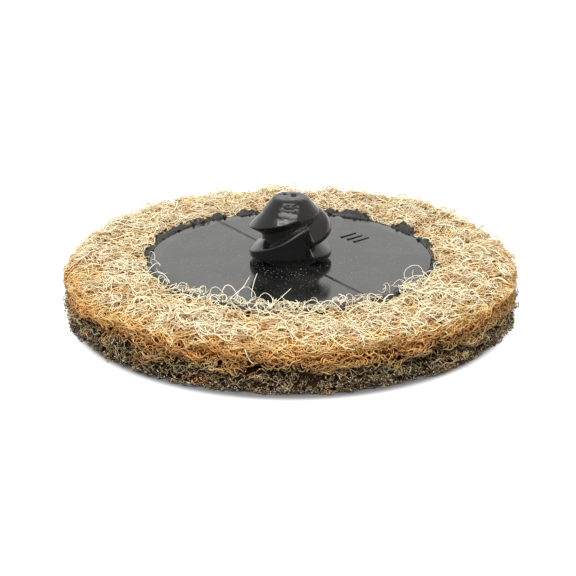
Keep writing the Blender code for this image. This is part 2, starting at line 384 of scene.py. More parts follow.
class NodeBoard:
    """A node tree with short calls for adding and joining nodes."""

    def __init__(self, tree: bpy.types.NodeTree) -> None:
        """Takes over a node tree."""
        self.tree = tree

    def feed(self, node: bpy.types.Node, inputs: dict[str | int, Value]) -> None:
        """Gives each named input of a node a link or a plain value.

        Args:
            node: The node.
            inputs: A socket to link, or a plain value, for each input.
        """
        for key, value in inputs.items():
            socket = node.inputs[key]
            if isinstance(value, Socket):
                self.tree.links.new(value, socket)
            elif socket.type == "RGBA":
                socket.default_value = (*value, 1.0)
            else:
                socket.default_value = value

    def add(self, kind: str, inputs: dict[str | int, Value] | None = None,
            **settings: object) -> bpy.types.Node:
        """Adds a node.

        Args:
            kind: The node's type, without the words that all of them begin with.
            inputs: A socket to link, or a plain value, for each input.
            settings: Values for its own settings.

        Returns:
            The new node.
        """
        node = self.tree.nodes.new(f"ShaderNode{kind}")
        for key, value in settings.items():
            setattr(node, key, value)
        self.feed(node, inputs or {})
        return node

    def maths(self, operation: str, first: Value, *others: Value) -> Socket:
        """Adds a Math node for each further value, or one node if there is none.

        Args:
            operation: What each works out.
            first: The first value.
            others: The values that it is joined with, one after the other.

        Returns:
            The result.
        """
        for other in others or (0.0,):
            first = self.add("Math", {0: first, 1: other}, operation=operation).outputs[0]
        return first

    def span(self, value: Socket, low: float, high: float,
             to_low: float = 0.0, to_high: float = 1.0) -> Socket:
        """Maps a value from one range to another, held at both ends.

        Args:
            value: What is mapped.
            low: The value that becomes to_low.
            high: The value that becomes to_high.
            to_low: The result at low.
            to_high: The result at high.

        Returns:
            The mapped value.
        """
        return self.add("MapRange", {"Value": value, "From Min": low, "From Max": high,
                                     "To Min": to_low, "To Max": to_high}).outputs["Result"]

    def noise(self, vector: Socket, size: float, detail: float = 2.0,
              limits: Limits | None = None) -> Socket:
        """Adds noise whose lumps are about the given size in metres.

        Args:
            vector: The coordinates it reads.
            size: The size of a lump.
            detail: How many finer layers it has.
            limits: The range that is mapped, and the range that it becomes.

        Returns:
            A value of about 0 to 1, or the mapped one.
        """
        inputs = {"Vector": vector, "Scale": 1 / size, "Detail": detail}
        value = self.add("TexNoise", inputs).outputs["Fac"]
        return self.span(value, *limits) if limits else value

    def mix(self, factor: Value, first: Value, second: Value, blend: str = "MIX") -> Socket:
        """Adds a colour mix.

        Args:
            factor: The share of the second colour.
            first: The first colour or socket.
            second: The second colour or socket.
            blend: How the two are blended.

        Returns:
            The mixed colour.
        """
        inputs = {0: factor, 6: first, 7: second}
        return self.add("Mix", data_type="RGBA", blend_type=blend, inputs=inputs).outputs[2]

    def ramp(self, value: Socket, stops: Sequence[tuple[float, Colour]]) -> Socket:
        """Adds a colour ramp.

        Args:
            value: Where on the ramp to read.
            stops: Places and linear colours along it.

        Returns:
            The colour.
        """
        node = self.add("ValToRGB", {"Fac": value})
        elements = node.color_ramp.elements
        elements.remove(elements[-1])
        for index, (place, colour) in enumerate(stops):
            element = elements.new(place) if index else elements[0]
            element.position = place
            element.color = (*colour, 1.0)
        return node.outputs["Color"]

    def bump(self, height: Socket, depth: float, under: Socket | None = None) -> Socket:
        """Adds a bump of a real depth in metres.

        Args:
            height: The height field, from 0 to 1.
            depth: How deep it is.
            under: The bent normal that it is laid over, if any.

        Returns:
            The bent normal.
        """
        inputs = {"Height": height, "Distance": depth} | ({"Normal": under} if under else {})
        return self.add("Bump", inputs).outputs["Normal"]


class MaterialBoard(NodeBoard):
    """The nodes of a new material, with its object coordinates at hand."""

    def __init__(self, name: str) -> None:
        """Makes the material, with one Principled shader.

        Args:
            name: The material's name.
        """
        self.material = bpy.data.materials.new(name)
        self.material.use_nodes = True
        super().__init__(self.material.node_tree)
        self.place = self.add("TexCoord").outputs["Object"]

    def axes(self) -> list[Socket]:
        """Splits the coordinates into x, y and z."""
        return self.add("SeparateXYZ", {0: self.place}).outputs[:]

    def grain(self, group: bpy.types.NodeTree, sizes: Pair) -> Socket:
        """Places the shared grain, with its coarse and fine sizes in metres."""
        scales = {"Coarse Scale": 1 / sizes[0], "Fine Scale": 1 / sizes[1]}
        return self.add("Group", {"Vector": self.place} | scales, node_tree=group).outputs[0]

    def finish(self, inputs: dict[str | int, Value]) -> Finish:
        """Gives the shader its inputs, and returns the material."""
        self.feed(self.tree.nodes["Principled BSDF"], inputs)
        return self.material


def grain_group() -> bpy.types.NodeTree:
    """Builds the shared fine grain: coarse lumps with finer ones on them.

    Returns:
        A group that takes a vector and two scales, and puts out a value from 0 to 1.
    """
    group = bpy.data.node_groups.new("fine_grain", "ShaderNodeTree")
    for name, way, kind in (("Vector", "INPUT", "Vector"), ("Coarse Scale", "INPUT", "Float"),
                            ("Fine Scale", "INPUT", "Float"), ("Grain", "OUTPUT", "Float")):
        group.interface.new_socket(name, in_out=way, socket_type=f"NodeSocket{kind}")
    board = NodeBoard(group)
    vector, *scales = group.nodes.new("NodeGroupInput").outputs[:3]
    layers = [board.add("TexNoise", {"Vector": vector, "Scale": scale, "Detail": 3.0})
              for scale in scales]
    both = board.maths("ADD", *[layer.outputs["Fac"] for layer in layers])
    board.feed(group.nodes.new("NodeGroupOutput"), {"Grain": board.maths("MULTIPLY", both, 0.5)})
    return group


@dataclass(frozen=True)
class NylonFinish:
    """Glossy black plastic as it comes out of the mould, with dust and dull flash.

    Limits give the range of a noise that is used, and the range that it becomes.
    """

    base: Colour = rgb(22, 22, 23)
    haze: Colour = rgb(92, 91, 87)
    flash: Colour = rgb(50, 50, 48)
    dust: Colour = rgb(150, 147, 138)
    tint: Colour = (1.0, 0.966, 0.9)
    shine: float = 0.39
    dull: float = 0.62
    scuff_size: float = 1.9 * MM
    scuff_limits: Limits = (0.45, 0.75, 0.08, 0.2)
    haze_size: float = 5.5 * MM
    haze_limits: Limits = (0.4, 0.72, 0.0, 0.2)
    wave_size: float = 2.6 * MM
    wave_depth: float = 0.012 * MM
    grain_sizes: Pair = (0.5 * MM, 0.12 * MM)
    grain_depth: float = 0.006 * MM
    flash_edge: Pair = (-0.1 * MM, 0.3 * MM)
    dusty_height: float = 0.8 * MM
    speck_size: float = 0.27 * MM
    speck_share: float = 0.85
    speck_widths: Pair = (0.1, 0.3)
    speck_tones: Pair = (0.1, 0.9)
    speck_fall: Limits = (0.35, 0.7, 1.0, 0.4)
    cloud_size: float = 3.4 * MM
    cloud_limits: Limits = (0.38, 0.7, 0.35, 1.6)
    polish_roughness: float = 0.1
    polish_ior: float = 1.62
    patch_direction: float = radians(-98.0)
    patch_edge: Limits = (0.40, 0.43, 1.0, 0.0)
    patch_heights: Pair = (4.9 * MM, 6.9 * MM)
    sway_size: float = 0.9 * MM
    sway_limits: Limits = (0.3, 0.7, -0.16, 0.16)
    crack_size: float = 0.6 * MM
    crack_stretch: Pair = (0.6, 1.7)
    crack_limits: Limits = (0.42, 0.56, 0.0, 0.62)
    bands: tuple[Pair, ...] = (
        (0.04, 0.0), (0.06, 1.0), (0.32, 0.8), (0.35, 0.0), (0.47, 0.0), (0.5, 0.6),
        (0.62, 0.45), (0.65, 0.0), (0.81, 0.0), (0.84, 0.9), (0.87, 0.9), (0.89, 0.0),
    )

    def material(self, grain: bpy.types.NodeTree, plate_radius: float,
                 plate_top: float) -> Finish:
        """Builds the material.

        Args:
            grain: The shared grain.
            plate_radius: Where the flash begins.
            plate_top: The plate's height, a little over which the dust ends.

        Returns:
            The material.
        """
        board = MaterialBoard("black_nylon")
        x, y, z = board.axes()
        squares = [board.maths("POWER", axis, 2.0) for axis in (x, y)]
        radius = board.maths("SQRT", board.maths("ADD", *squares))
        edge = board.span(radius, *(plate_radius + offset for offset in self.flash_edge))
        level = board.maths("LESS_THAN", z, plate_top + self.dusty_height)
        specks = board.maths("MULTIPLY", level, self.specks(board, radius, plate_radius))
        cloudy = board.noise(board.place, self.haze_size, 3.0, self.haze_limits)
        colour = board.mix(board.maths("MULTIPLY", cloudy, level), self.base, self.haze)
        colour = board.mix(edge, colour, self.flash)
        scuff = board.noise(board.place, self.scuff_size, 4.0, self.scuff_limits)
        wave = board.bump(board.noise(board.place, self.wave_size), self.wave_depth)
        return board.finish({
            "Base Color": board.mix(specks, colour, self.dust),
            "Roughness": board.maths("MAXIMUM", scuff, board.maths("MULTIPLY", edge, self.dull),
                                     board.maths("MULTIPLY", specks, self.dull)),
            "Specular IOR Level": self.shine,
            "Specular Tint": self.tint,
            "Coat Weight": self.polish(board, (x, y, z), plate_top),
            "Coat Roughness": self.polish_roughness,
            "Coat IOR": self.polish_ior,
            "Normal": board.bump(board.grain(grain, self.grain_sizes), self.grain_depth, wave),
        })

    def polish(self, board: MaterialBoard, axes: Sequence[Socket], plate_top: float) -> Socket:
        """Masks the bright, broken patch that the mould left on the front of the cone.

        Args:
            board: The material's board.
            axes: Object coordinates, as single axes.
            plate_top: The plate's height.

        Returns:
            The mask.
        """
        x, y, z = axes
        turn = board.maths("SUBTRACT", board.maths("ARCTAN2", y, x), self.patch_direction)
        sway = board.noise(board.place, self.sway_size, 4.0, self.sway_limits)
        away = board.maths("ADD", board.maths("ABSOLUTE", turn), sway)
        height = board.maths("ADD", z, board.maths("MULTIPLY", sway, MM))
        height = board.span(height, *(plate_top + level for level in self.patch_heights))
        bands = board.ramp(height, [(spot, (share,) * 3) for spot, share in self.bands])
        stretched = [board.maths("MULTIPLY", axis, stretch)
                     for axis, stretch in zip((x, z), self.crack_stretch)]
        flat = board.add("CombineXYZ", dict(enumerate(stretched))).outputs[0]
        cracks = board.noise(flat, self.crack_size, 4.0, self.crack_limits)
        return board.maths("MULTIPLY", bands, board.span(away, *self.patch_edge), cracks)

    def specks(self, board: MaterialBoard, radius: Socket, plate_radius: float) -> Socket:
        """Scatters dust, thicker near the stud's foot.

        Args:
            board: The material's board.
            radius: The distance from the axis.
            plate_radius: The plate's radius.

        Returns:
            A mask of the specks.
        """
        cells = board.add("TexVoronoi", {"Vector": board.place, "Scale": 1 / self.speck_size})
        red, green, blue = board.add("SeparateColor", {0: cells.outputs["Color"]}).outputs
        cloud = board.noise(board.place, self.cloud_size, limits=self.cloud_limits)
        kept = board.maths("LESS_THAN", red, board.maths("MULTIPLY", cloud, self.speck_share))
        width = board.span(green, 0.0, 1.0, *self.speck_widths)
        near = board.maths("LESS_THAN", cells.outputs["Distance"], width)
        faint = board.span(blue, 0.0, 1.0, *self.speck_tones)
        start, end, *shares = self.speck_fall
        on_plate = board.span(radius, start * plate_radius, end * plate_radius, *shares)
        return board.maths("MULTIPLY", kept, near, faint, on_plate)


@dataclass(frozen=True)
class WebColours:
    """The web's colours from its working face, at 0, to its back, at 1."""

    grit: Colour = rgb(160, 146, 104)
    void: Colour = rgb(190, 166, 110)
    olive: Colour = rgb(192, 158, 104)
    rust: Colour = rgb(226, 164, 92)
    amber: Colour = rgb(250, 202, 130)
    gold: Colour = rgb(254, 226, 160)
    ivory: Colour = rgb(254, 244, 210)

    def stops(self) -> list[tuple[float, Colour]]:
        """Returns the places and colours of the ramp from the bottom up."""
        return [(0.0, self.grit), (0.30, self.grit), (0.38, self.void), (0.48, self.olive),
                (0.60, self.rust), (0.74, self.amber), (0.86, self.gold), (0.96, self.ivory)]


@dataclass(frozen=True)
class FibreFinish:
    """Single fibres: a ramp of colour up the web, with each fibre's own tone, and a browner colour
    deep inside the web that is partly resin and partly painted shade of the recesses.
    """

    colours: WebColours = WebColours()
    patch: Colour = rgb(204, 138, 66)
    patch_size: float = 2.3 * MM
    patch_limits: Limits = (0.55, 0.68, 0.0, 0.6)
    sway_size: float = 1.6 * MM
    sway_limits: Limits = (0.2, 0.8, -0.15, 0.15)
    calm_limits: Limits = (0.85, 1.0, 1.0, 0.25)
    # Browner deep inside the web: the resin's colour there, and painted shade of the recesses.
    deep: Colour = rgb(184, 114, 40)
    depth_resin_and_shade_share: float = 0.5
    aged: Colour = rgb(232, 190, 112)
    aged_limits: Limits = (0.0, 0.6, 0.55, 0.0)
    pale: Colour = rgb(252, 246, 226)
    pale_limits: Limits = (1.0, 2.0, 0.0, 0.9)
    shade_limits: Limits = (0.0, 1.0, 0.86, 1.12)
    roughness: float = 0.5
    shine: float = 0.4

    def material(self, name: str, web_height: float) -> Finish:
        """Builds the material.

        Args:
            name: The material's name.
            web_height: The height of the web's back.

        Returns:
            The material.
        """
        board = MaterialBoard(name)
        tone, depth = (board.add("Attribute", attribute_name=key).outputs["Fac"]
                       for key in ("tone", "depth"))
        level = board.maths("DIVIDE", board.axes()[2], web_height)
        sway = board.noise(board.place, self.sway_size, limits=self.sway_limits)
        sway = board.maths("MULTIPLY", sway, board.span(level, *self.calm_limits))
        colour = board.ramp(board.maths("ADD", level, sway), self.colours.stops())
        patches = board.noise(board.place, self.patch_size, 3.0, self.patch_limits)
        for share, other in (
            (patches, self.patch),
            # Fibres deep in the web mix towards the deep colour: resin, and painted shade.
            (board.maths("MULTIPLY", depth, self.depth_resin_and_shade_share), self.deep),
            (board.span(tone, *self.aged_limits), self.aged),
            (board.span(tone, *self.pale_limits), self.pale),
        ):
            colour = board.mix(share, colour, other)
        shade = board.span(tone, *self.shade_limits)
        return board.finish({
            "Base Color": board.mix(1.0, colour, shade, "MULTIPLY"),
            "Roughness": self.roughness,
            "Specular IOR Level": self.shine,
        })


@dataclass(frozen=True)
class GritFinish:
    """Resin and mineral on the lower layer's fibres: dark, with pale specks."""

    dark: Colour = rgb(56, 30, 9)
    olive: Colour = rgb(112, 88, 55)
    pale: Colour = rgb(240, 226, 190)
    amber: Colour = rgb(176, 122, 62)
    clump_size: float = 0.9 * MM
    clump_limits: Limits = (0.36, 0.62, 0.0, 1.0)
    tint_size: float = 2.8 * MM
    tint_limits: Limits = (0.5, 0.7, 0.0, 0.7)
    grain_sizes: Pair = (0.32 * MM, 0.11 * MM)
    speck_limits: Limits = (0.53, 0.62, 0.0, 0.95)
    depth: float = 0.07 * MM
    roughness: float = 0.72

    def material(self, name: str, grain: bpy.types.NodeTree) -> Finish:
        """Builds the material.

        Args:
            name: The material's name.
            grain: The shared grain.

        Returns:
            The material.
        """
        board = MaterialBoard(name)
        speckle = board.grain(grain, self.grain_sizes)
        clumps = board.noise(board.place, self.clump_size, 3.0, self.clump_limits)
        tint = board.noise(board.place, self.tint_size, limits=self.tint_limits)
        colour = board.mix(tint, board.mix(clumps, self.dark, self.olive), self.amber)
        return board.finish({
            "Base Color": board.mix(board.span(speckle, *self.speck_limits), colour, self.pale),
            "Normal": board.bump(speckle, self.depth),
            "Roughness": self.roughness,
        })


@dataclass(frozen=True)
class CoreFinish:
    """What shows in the gaps between the fibres: the same colours, made dark as painted shade of
    the gaps, and darker still in the grain's hollows as painted shade.
    """

    # Dark copies of the web's colours: painted shade in the gaps between the fibres.
    colours: WebColours = WebColours(
        grit=rgb(44, 32, 20), void=rgb(46, 29, 14), olive=rgb(86, 54, 25), rust=rgb(150, 88, 36),
        amber=rgb(190, 122, 54), gold=rgb(208, 148, 76), ivory=rgb(208, 156, 88),
    )
    # Painted shade: a colour laid into the hollows of the grain's bump.
    hollow: Colour = rgb(50, 25, 6)
    hollow_shade_limits: Limits = (0.38, 0.56, 0.9, 0.0)
    grain_sizes: Pair = (0.7 * MM, 0.2 * MM)
    depth: float = 0.16 * MM
    roughness: float = 0.8
    shine: float = 0.15

    def material(self, name: str, grain: bpy.types.NodeTree, web_height: float) -> Finish:
        """Builds the material.

        Args:
            name: The material's name.
            grain: The shared grain.
            web_height: The height of the web's back.

        Returns:
            The material.
        """
        board = MaterialBoard(name)
        speckle = board.grain(grain, self.grain_sizes)
        level = board.maths("DIVIDE", board.axes()[2], web_height)
        colour = board.ramp(level, self.colours.stops())
        return board.finish({
            # The low places of the same grain that makes the bump are darkened: painted shade in
            # its hollows.
            "Base Color": board.mix(board.span(speckle, *self.hollow_shade_limits), colour, self.hollow),
            "Normal": board.bump(speckle, self.depth),
            "Roughness": self.roughness,
            "Specular IOR Level": self.shine,
        })


@dataclass(frozen=True)
class Lump:
    """A lump of plastic that squeezed out at the plate's edge; angles in degrees."""

    direction: float
    half_width: float
    reach: float
    rise: float


@dataclass
class ThreadedButton:
    """The moulded button: a round plate, and a stud with a two-start thread.

    Heights on the stud are counted from the plate's top. A pair of heights or angles is where
    something begins and where it is full.
    """

    plate_radius: float = 15.75 * MM
    plate_thickness: float = 1.4 * MM
    rim_width: float = 1.3 * MM
    rim_fall: float = 0.05 * MM
    edge_round: float = 0.14 * MM
    flash_width: float = 0.3 * MM
    flash_rise: float = 0.12 * MM
    stud_height: float = 7.3 * MM
    thread_radius: float = 4.6 * MM
    root_radius: float = 3.15 * MM
    tip_radius: float = 1.85 * MM
    taper_height: float = 3.5 * MM
    tip_round: float = 0.4 * MM
    lead: float = 6.4 * MM
    starts: int = 2
    ridges: range = range(-2, 4)
    crest_width: float = 0.5 * MM
    crest_above_base: float = 0.3 * MM
    crest_ease: float = 0.08 * MM
    cap_ease: float = 0.05 * MM
    root_sink: float = 0.02 * MM
    root_ease: float = 0.04 * MM
    cone_ease: float = 0.06 * MM
    upper_flank: float = 1.3 * MM
    drawn_flank: float = 0.3 * MM
    lower_flank: float = 0.8 * MM
    crest_at_left: float = 3.9 * MM
    foot_fillet: float = 0.1 * MM
    trim: float = 0.95 * MM
    trim_angle: float = radians(110.0)
    lift: float = 0.85 * MM
    fill: float = 0.95
    fill_angles: Pair = (radians(165.0), radians(125.0))
    fill_heights: Pair = (3.6 * MM, 3.2 * MM)
    hollow: float = 0.6
    base_height: float = 0.5 * MM
    base_rise: float = 0.5 * MM
    base_ease: float = 0.1 * MM
    full_direction: float = radians(15.0)
    full_heights: Pair = (2.8 * MM, 3.6 * MM)
    fullness: float = 0.6 * MM
    bulge: float = 0.55
    bulge_height: float = 4.9 * MM
    bulge_spread: float = 0.8 * MM
    edge_width: float = 0.04 * MM
    scuff_direction: float = radians(-98.0)
    scuff_angles: Pair = (radians(34.0), radians(26.0))
    scuff_foot: Pair = (5.2 * MM, 5.5 * MM)
    scuff_top: Pair = (7.0 * MM, 6.8 * MM)
    scuff_depth: float = 0.05 * MM
    groove_depth: float = 0.05 * MM
    groove_width: float = 0.08 * MM
    groove_sway: float = 0.09 * MM
    grooves: tuple[float, ...] = (5.66 * MM, 6.28 * MM, 6.7 * MM)
    parting: float = radians(124.0)
    parting_height: float = 0.05 * MM
    parting_width: float = 0.07 * MM
    fin_heights: Pair = (5.0 * MM, 4.2 * MM)
    dome: float = 0.05 * MM
    tip_roughness: float = 0.03 * MM
    gates: tuple[Pair, ...] = ((-0.77 * MM, 0.43 * MM), (0.35 * MM, 0.2 * MM))
    gate_depth: float = 0.34 * MM
    gate_width: float = 0.24 * MM
    steps: int = 320
    row_height: float = 0.066 * MM
    crowding: float = 0.36
    kept_corner: float = radians(13.0)
    crumbs_per_degree: float = 1.1
    crumb_roughness: float = 0.09 * MM
    stroke_size: Triple = (2.3 * MM, 0.34 * MM, 0.22 * MM)
    stroke_bevel: float = 0.05 * MM
    stroke_spacing: float = 1.05 * MM
    stroke_distance: float = 10.0 * MM
    stroke_direction: float = radians(43.0)
    lumps: tuple[Lump, ...] = (
        Lump(67.0, 15.0, 1.25 * MM, 0.40 * MM),
        Lump(88.0, 7.0, 0.5 * MM, 0.20 * MM),
        Lump(108.0, 6.0, 0.9 * MM, 0.30 * MM),
        Lump(122.0, 5.0, 0.9 * MM, 0.35 * MM),
        Lump(136.0, 11.0, 0.9 * MM, 0.30 * MM),
        Lump(151.0, 12.0, 1.0 * MM, 0.25 * MM),
        Lump(172.0, 8.0, 0.5 * MM, 0.15 * MM),
        Lump(37.0, 7.0, 1.3 * MM, 0.45 * MM),
        Lump(19.0, 6.0, 0.7 * MM, 0.25 * MM),
        Lump(-6.0, 5.0, 0.4 * MM, 0.10 * MM),
        Lump(-52.0, 4.0, 0.6 * MM, 0.10 * MM),
        Lump(-118.0, 6.0, 0.5 * MM, 0.10 * MM),
    )
    top: float = field(init=False)
    plate_top: float = field(init=False)
    flat_edge: float = field(init=False)
    slope: float = field(init=False)

    def __post_init__(self) -> None:
        """Reads the button's place from the frame, and works out what follows."""
        self.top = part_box(Node.BUTTON.value)[1][2]
        self.plate_top = self.top - self.stud_height
        self.flat_edge = self.plate_radius - self.rim_width
        self.slope = self.taper_height / (self.thread_radius - self.tip_radius)

    def flash(self, direction: Points) -> tuple[Points, Points]:
        """Works out the flash round the plate.

        Args:
            direction: Angles round the axis, in radians.

        Returns:
            How far it reaches out past the plate, and how high it stands, at each angle.
        """
        reach, rise = np.zeros((2, len(direction)))
        for lump in self.lumps:
            away = np.abs(angle_from(direction, radians(lump.direction)))
            swell = (1 - np.minimum(away / radians(lump.half_width), 1.0) ** 3) ** 2
            reach = np.maximum(reach, swell * lump.reach)
            rise = np.maximum(rise, swell * lump.rise)
        return self.flash_width + reach, rise

    def cone(self, height: Points) -> Points:
        """Returns the radius of the cone that the tip is turned down to, at each height."""
        return self.tip_radius + (self.stud_height - height) / self.slope

    def thread(self, direction: Points, height: Points) -> Points:
        """Works out the stud's radius.

        Each half of the mould has its thread trimmed and filled towards one parting line, so
        that it can draw off sideways.

        Args:
            direction: Angles round the axis, in radians.
            height: Heights above the plate.

        Returns:
            The radius at each angle and height.
        """
        before = pi - (direction - self.parting) % pi
        drawn = 1 - smooth_step(before, 0.0, self.trim_angle)
        filled = smooth_step(before, *self.fill_angles)
        cut = smooth_step(drawn, 0.0, 0.3) * smooth_step(drawn, 1.0, 0.55)
        first = self.crest_at_left + (direction - pi) / tau * self.lead
        base = self.base_height + self.base_rise * np.sin(direction) ** 2
        full = smooth_step(np.cos(direction - self.full_direction), 0.5, 0.95)
        radius = np.full_like(height, self.root_radius)
        for ridge in self.ridges:
            crest = smooth_floor(first + ridge * self.lead / self.starts,
                                 base + self.crest_above_base, self.crest_ease)
            lift = self.lift * drawn
            lift += self.fullness * full * smooth_step(crest, *self.full_heights)
            low = crest - self.crest_width / 2
            high = crest + self.crest_width / 2 + lift
            reach = smooth_cap(self.cone(low), self.thread_radius, self.cap_ease)
            reach = np.maximum(reach - self.root_radius, 0.0)
            flank = (self.upper_flank - lift) * (1 - self.hollow * cut)
            up = np.clip((height - high) / (flank + self.drawn_flank * drawn ** 2), 0.0, 1.0)
            down = np.clip((low - height) / self.lower_flank, 0.0, 1.0)
            fill = self.fill * filled * smooth_step(crest, *self.fill_heights)
            share = (1 - up) * (1 - down * (1 - fill))
            share *= smooth_step(height, base - self.base_ease, base + self.base_ease)
            radius = np.maximum(radius, self.root_radius + reach * share)
        radius = smooth_floor(radius, self.root_radius - self.root_sink, self.root_ease)
        radius = smooth_cap(radius, self.thread_radius - self.trim * drawn ** 1.2,
                            self.edge_width * (1 + 1.6 * drawn))
        bulge = self.bulge * self.fullness * full * bell(height - self.bulge_height,
                                                         self.bulge_spread)
        radius = smooth_cap(radius, self.cone(height) + bulge, self.cone_ease)
        low = np.clip(self.foot_fillet - height, 0.0, self.foot_fillet)
        radius += self.foot_fillet - np.sqrt(self.foot_fillet ** 2 - low ** 2)
        away = np.abs(np.sin(direction - self.parting)) * radius
        fin = self.parting_height * bell(away, self.parting_width)
        fin *= smooth_step(height, *self.fin_heights)
        return radius + fin + self.scuff(direction, height)

    def scuff(self, direction: Points, height: Points) -> Points:
        """Works out the rough, grooved patch on the cone's front.

        Args:
            direction: Angles round the axis, in radians.
            height: Heights above the plate.

        Returns:
            How far it stands out at each place.
        """
        away = angle_from(direction, self.scuff_direction)
        inside = smooth_step(np.abs(away), *self.scuff_angles)
        inside *= smooth_step(height, *self.scuff_foot) * smooth_step(height, *self.scuff_top)
        around = np.stack([away * 3 * MM, height, height * 0], 1)
        rough = noise_at(around, (1.0 * MM, 0.4 * MM, MM), 17.0)
        rough += 0.5 * noise_at(around, (0.4 * MM, 0.2 * MM, MM), 3.0)
        stands = self.scuff_depth * rough
        sway = self.groove_sway * noise_at(around, 0.7 * MM, 29.0)
        for level in self.grooves:
            stands -= self.groove_depth * bell(height - level - sway, self.groove_width)
        return inside * stands

    def parting_mark(self, direction: Points, radius: Points) -> Points:
        """Returns the height of the parting line's ridge, and of the groove beside it."""
        away, width = np.sin(direction - self.parting) * radius, self.parting_width
        return self.parting_height * (bell(away - width, width) - 1.6 * bell(away + width, width))

    def profile(self) -> list[Pair]:
        """Draws the outline that is spun, with a straight stand-in for the thread.

        Returns:
            Its points, from the tip's middle to the underside's.
        """
        top, plate = self.top, self.plate_top
        flat = self.tip_radius - self.tip_round
        shoulder = self.tip_radius + self.tip_round / self.slope
        rim = plate - self.rim_fall
        foot = rim - self.edge_round
        inner = self.plate_radius - self.edge_round
        outer = self.plate_radius + self.flash_width
        bottom = plate - self.plate_thickness
        rows = round((self.stud_height - self.tip_round) / self.row_height)
        rounding = [i / 9 for i in range(1, 9)]
        return [
            *straight((0.0, top), (flat, top), 14, first=0),
            *((flat + (shoulder - flat) * (1 - (1 - share) ** 1.6),
               top - self.tip_round * share ** 2) for share in rounding),
            *straight((self.root_radius, top - self.tip_round), (self.root_radius, plate), rows,
                      first=0),
            *straight((self.thread_radius, plate), (self.flat_edge, plate), 30),
            *straight((self.flat_edge, plate), (inner, rim), 5),
            *((inner + self.edge_round * sin(a), rim - self.edge_round * (1 - cos(a)))
              for a in (radians(30), radians(60), radians(90))),
            *straight((self.plate_radius, foot), (outer, foot), 8),
            (outer, (plate + bottom) / 2), (self.plate_radius, bottom), (0.0, bottom),
        ]

    def shape(self, points: Points) -> Points:
        """Turns the spun blank into the button.

        Args:
            points: The blank's vertices.

        Returns:
            Their new places.
        """
        radius = distance(points)
        direction = angle_of(points)
        direction -= self.crowding * np.sin(2 * (direction - self.parting))
        height = points[:, 2] - self.plate_top
        new_radius, new_height = radius.copy(), height.copy()
        beside = radius > self.root_radius + MERGE
        over_rim = height > -self.rim_fall - self.edge_round - MERGE

        stud = (height > -MERGE) & (height < self.stud_height - self.tip_round + MERGE) & ~beside
        new_radius[stud] = self.thread(direction[stud], height[stud])

        plate = (np.abs(height) < MERGE) & beside
        foot = self.thread(direction, np.zeros_like(direction))
        share = (radius - self.thread_radius) / (self.flat_edge - self.thread_radius)
        new_radius[plate] = (foot + (self.flat_edge - foot) * np.maximum(share, 0.0))[plate]
        on_top = over_rim & (height < MERGE) & beside
        new_height += on_top * self.parting_mark(direction, new_radius)

        tip = height > self.stud_height - self.tip_round - MERGE
        tip &= radius < self.tip_radius + self.tip_round
        new_height -= tip * self.dome * (radius / self.tip_radius) ** 2
        new_height += tip * self.tip_roughness * noise_at(points, 0.45 * MM, 3.0)
        for gate in self.gates:
            away = np.hypot(*(points[:, :2] - gate).T)
            new_height -= tip * self.gate_depth * bell(away, self.gate_width)

        past = np.clip((radius - self.plate_radius) / self.flash_width, 0.0, 1.0)
        lumped = past > MERGE
        reach, rise = self.flash(direction)
        around = polar(direction, 1.0, past) * self.plate_radius
        tear = 1 + 0.55 * noise_at(around, (0.9 * MM, 0.9 * MM, 9.0 * MM), 11.0)
        tear += 0.3 * noise_at(around, (0.35 * MM, 0.35 * MM, 3.0 * MM), 5.0)
        new_radius[lumped] = (self.plate_radius + past * reach * tear)[lumped]
        swell = np.sin(np.clip(past * 1.25, 0.0, 1.0) * pi) ** 0.6
        upper = lumped & over_rim
        new_height[upper] += ((rise + self.flash_rise) * swell * tear)[upper]
        return polar(direction, new_radius, new_height + self.plate_top)

    def build(self, material: Finish) -> Piece:
        """Builds and dresses the button.

        Args:
            material: Its finish.

        Returns:
            The button.
        """
        button = to_object("moulded_button", turned(self.profile(), self.steps))
        reshape(button.data, self.shape)
        crease(button.data, self.kept_corner)
        return fit_out(button, material, Node.BUTTON)

    def build_crumbs(self, material: Finish) -> Piece:
        """Builds the torn crumbs that the flash is lumpy with.

        Args:
            material: Their finish.

        Returns:
            The crumbs, as one piece.
        """
        rng = np.random.default_rng(41)
        places, sizes = [], []
        level = self.plate_top - self.rim_fall - self.flash_rise
        for lump in self.lumps:
            for _ in range(round(self.crumbs_per_degree * 2 * lump.half_width)):
                along = rng.uniform(-0.9, 0.9)
                spread = (1 - abs(along) ** 3) ** 2
                out = rng.uniform(0.05, 1.0) * (self.flash_width + spread * lump.reach)
                direction = radians(lump.direction + along * lump.half_width)
                radius = self.plate_radius + out
                places.append((radius * cos(direction), radius * sin(direction),
                               level + spread * lump.rise * rng.uniform(0.3, 1.5)))
                sizes.append(rng.uniform(0.08, 0.22) * MM * np.array((1.7, 1.1, 0.7)))
        crumbs = scatter("flash_crumbs", 2, np.array(places), np.array(sizes), rng)
        reshape(crumbs.data, lambda points: points + self.crumb_roughness * np.stack(
            [noise_at(points, 0.24 * MM, seed) for seed in (1.0, 2.0, 3.0)], 1))
        return fit_out(crumbs, material, Node.BUTTON)

    def build_strokes(self, material: Finish) -> Piece:
        """Builds three plain raised strokes on the plate, as a mould's cavity mark.

        Args:
            material: Their finish.

        Returns:
            The strokes, as one piece.
        """
        bm = bmesh.new()
        for index in (-1, 0, 1):
            made = bmesh.ops.create_cube(bm, size=1.0)["verts"]
            bmesh.ops.scale(bm, vec=self.stroke_size, verts=made)
            bmesh.ops.translate(bm, vec=(0.0, index * self.stroke_spacing, 0.0), verts=made)
        bmesh.ops.bevel(bm, geom=bm.edges[:], offset=self.stroke_bevel, affect="EDGES",
                        segments=2, profile=0.5, material=-1)
        out = Matrix.Translation((self.stroke_distance, 0.0, self.plate_top))
        turn = Matrix.Rotation(self.stroke_direction, 4, "Z")
        bmesh.ops.transform(bm, matrix=turn @ out, verts=bm.verts)
        return fit_out(to_object("plate_strokes", bm), material, Node.BUTTON)


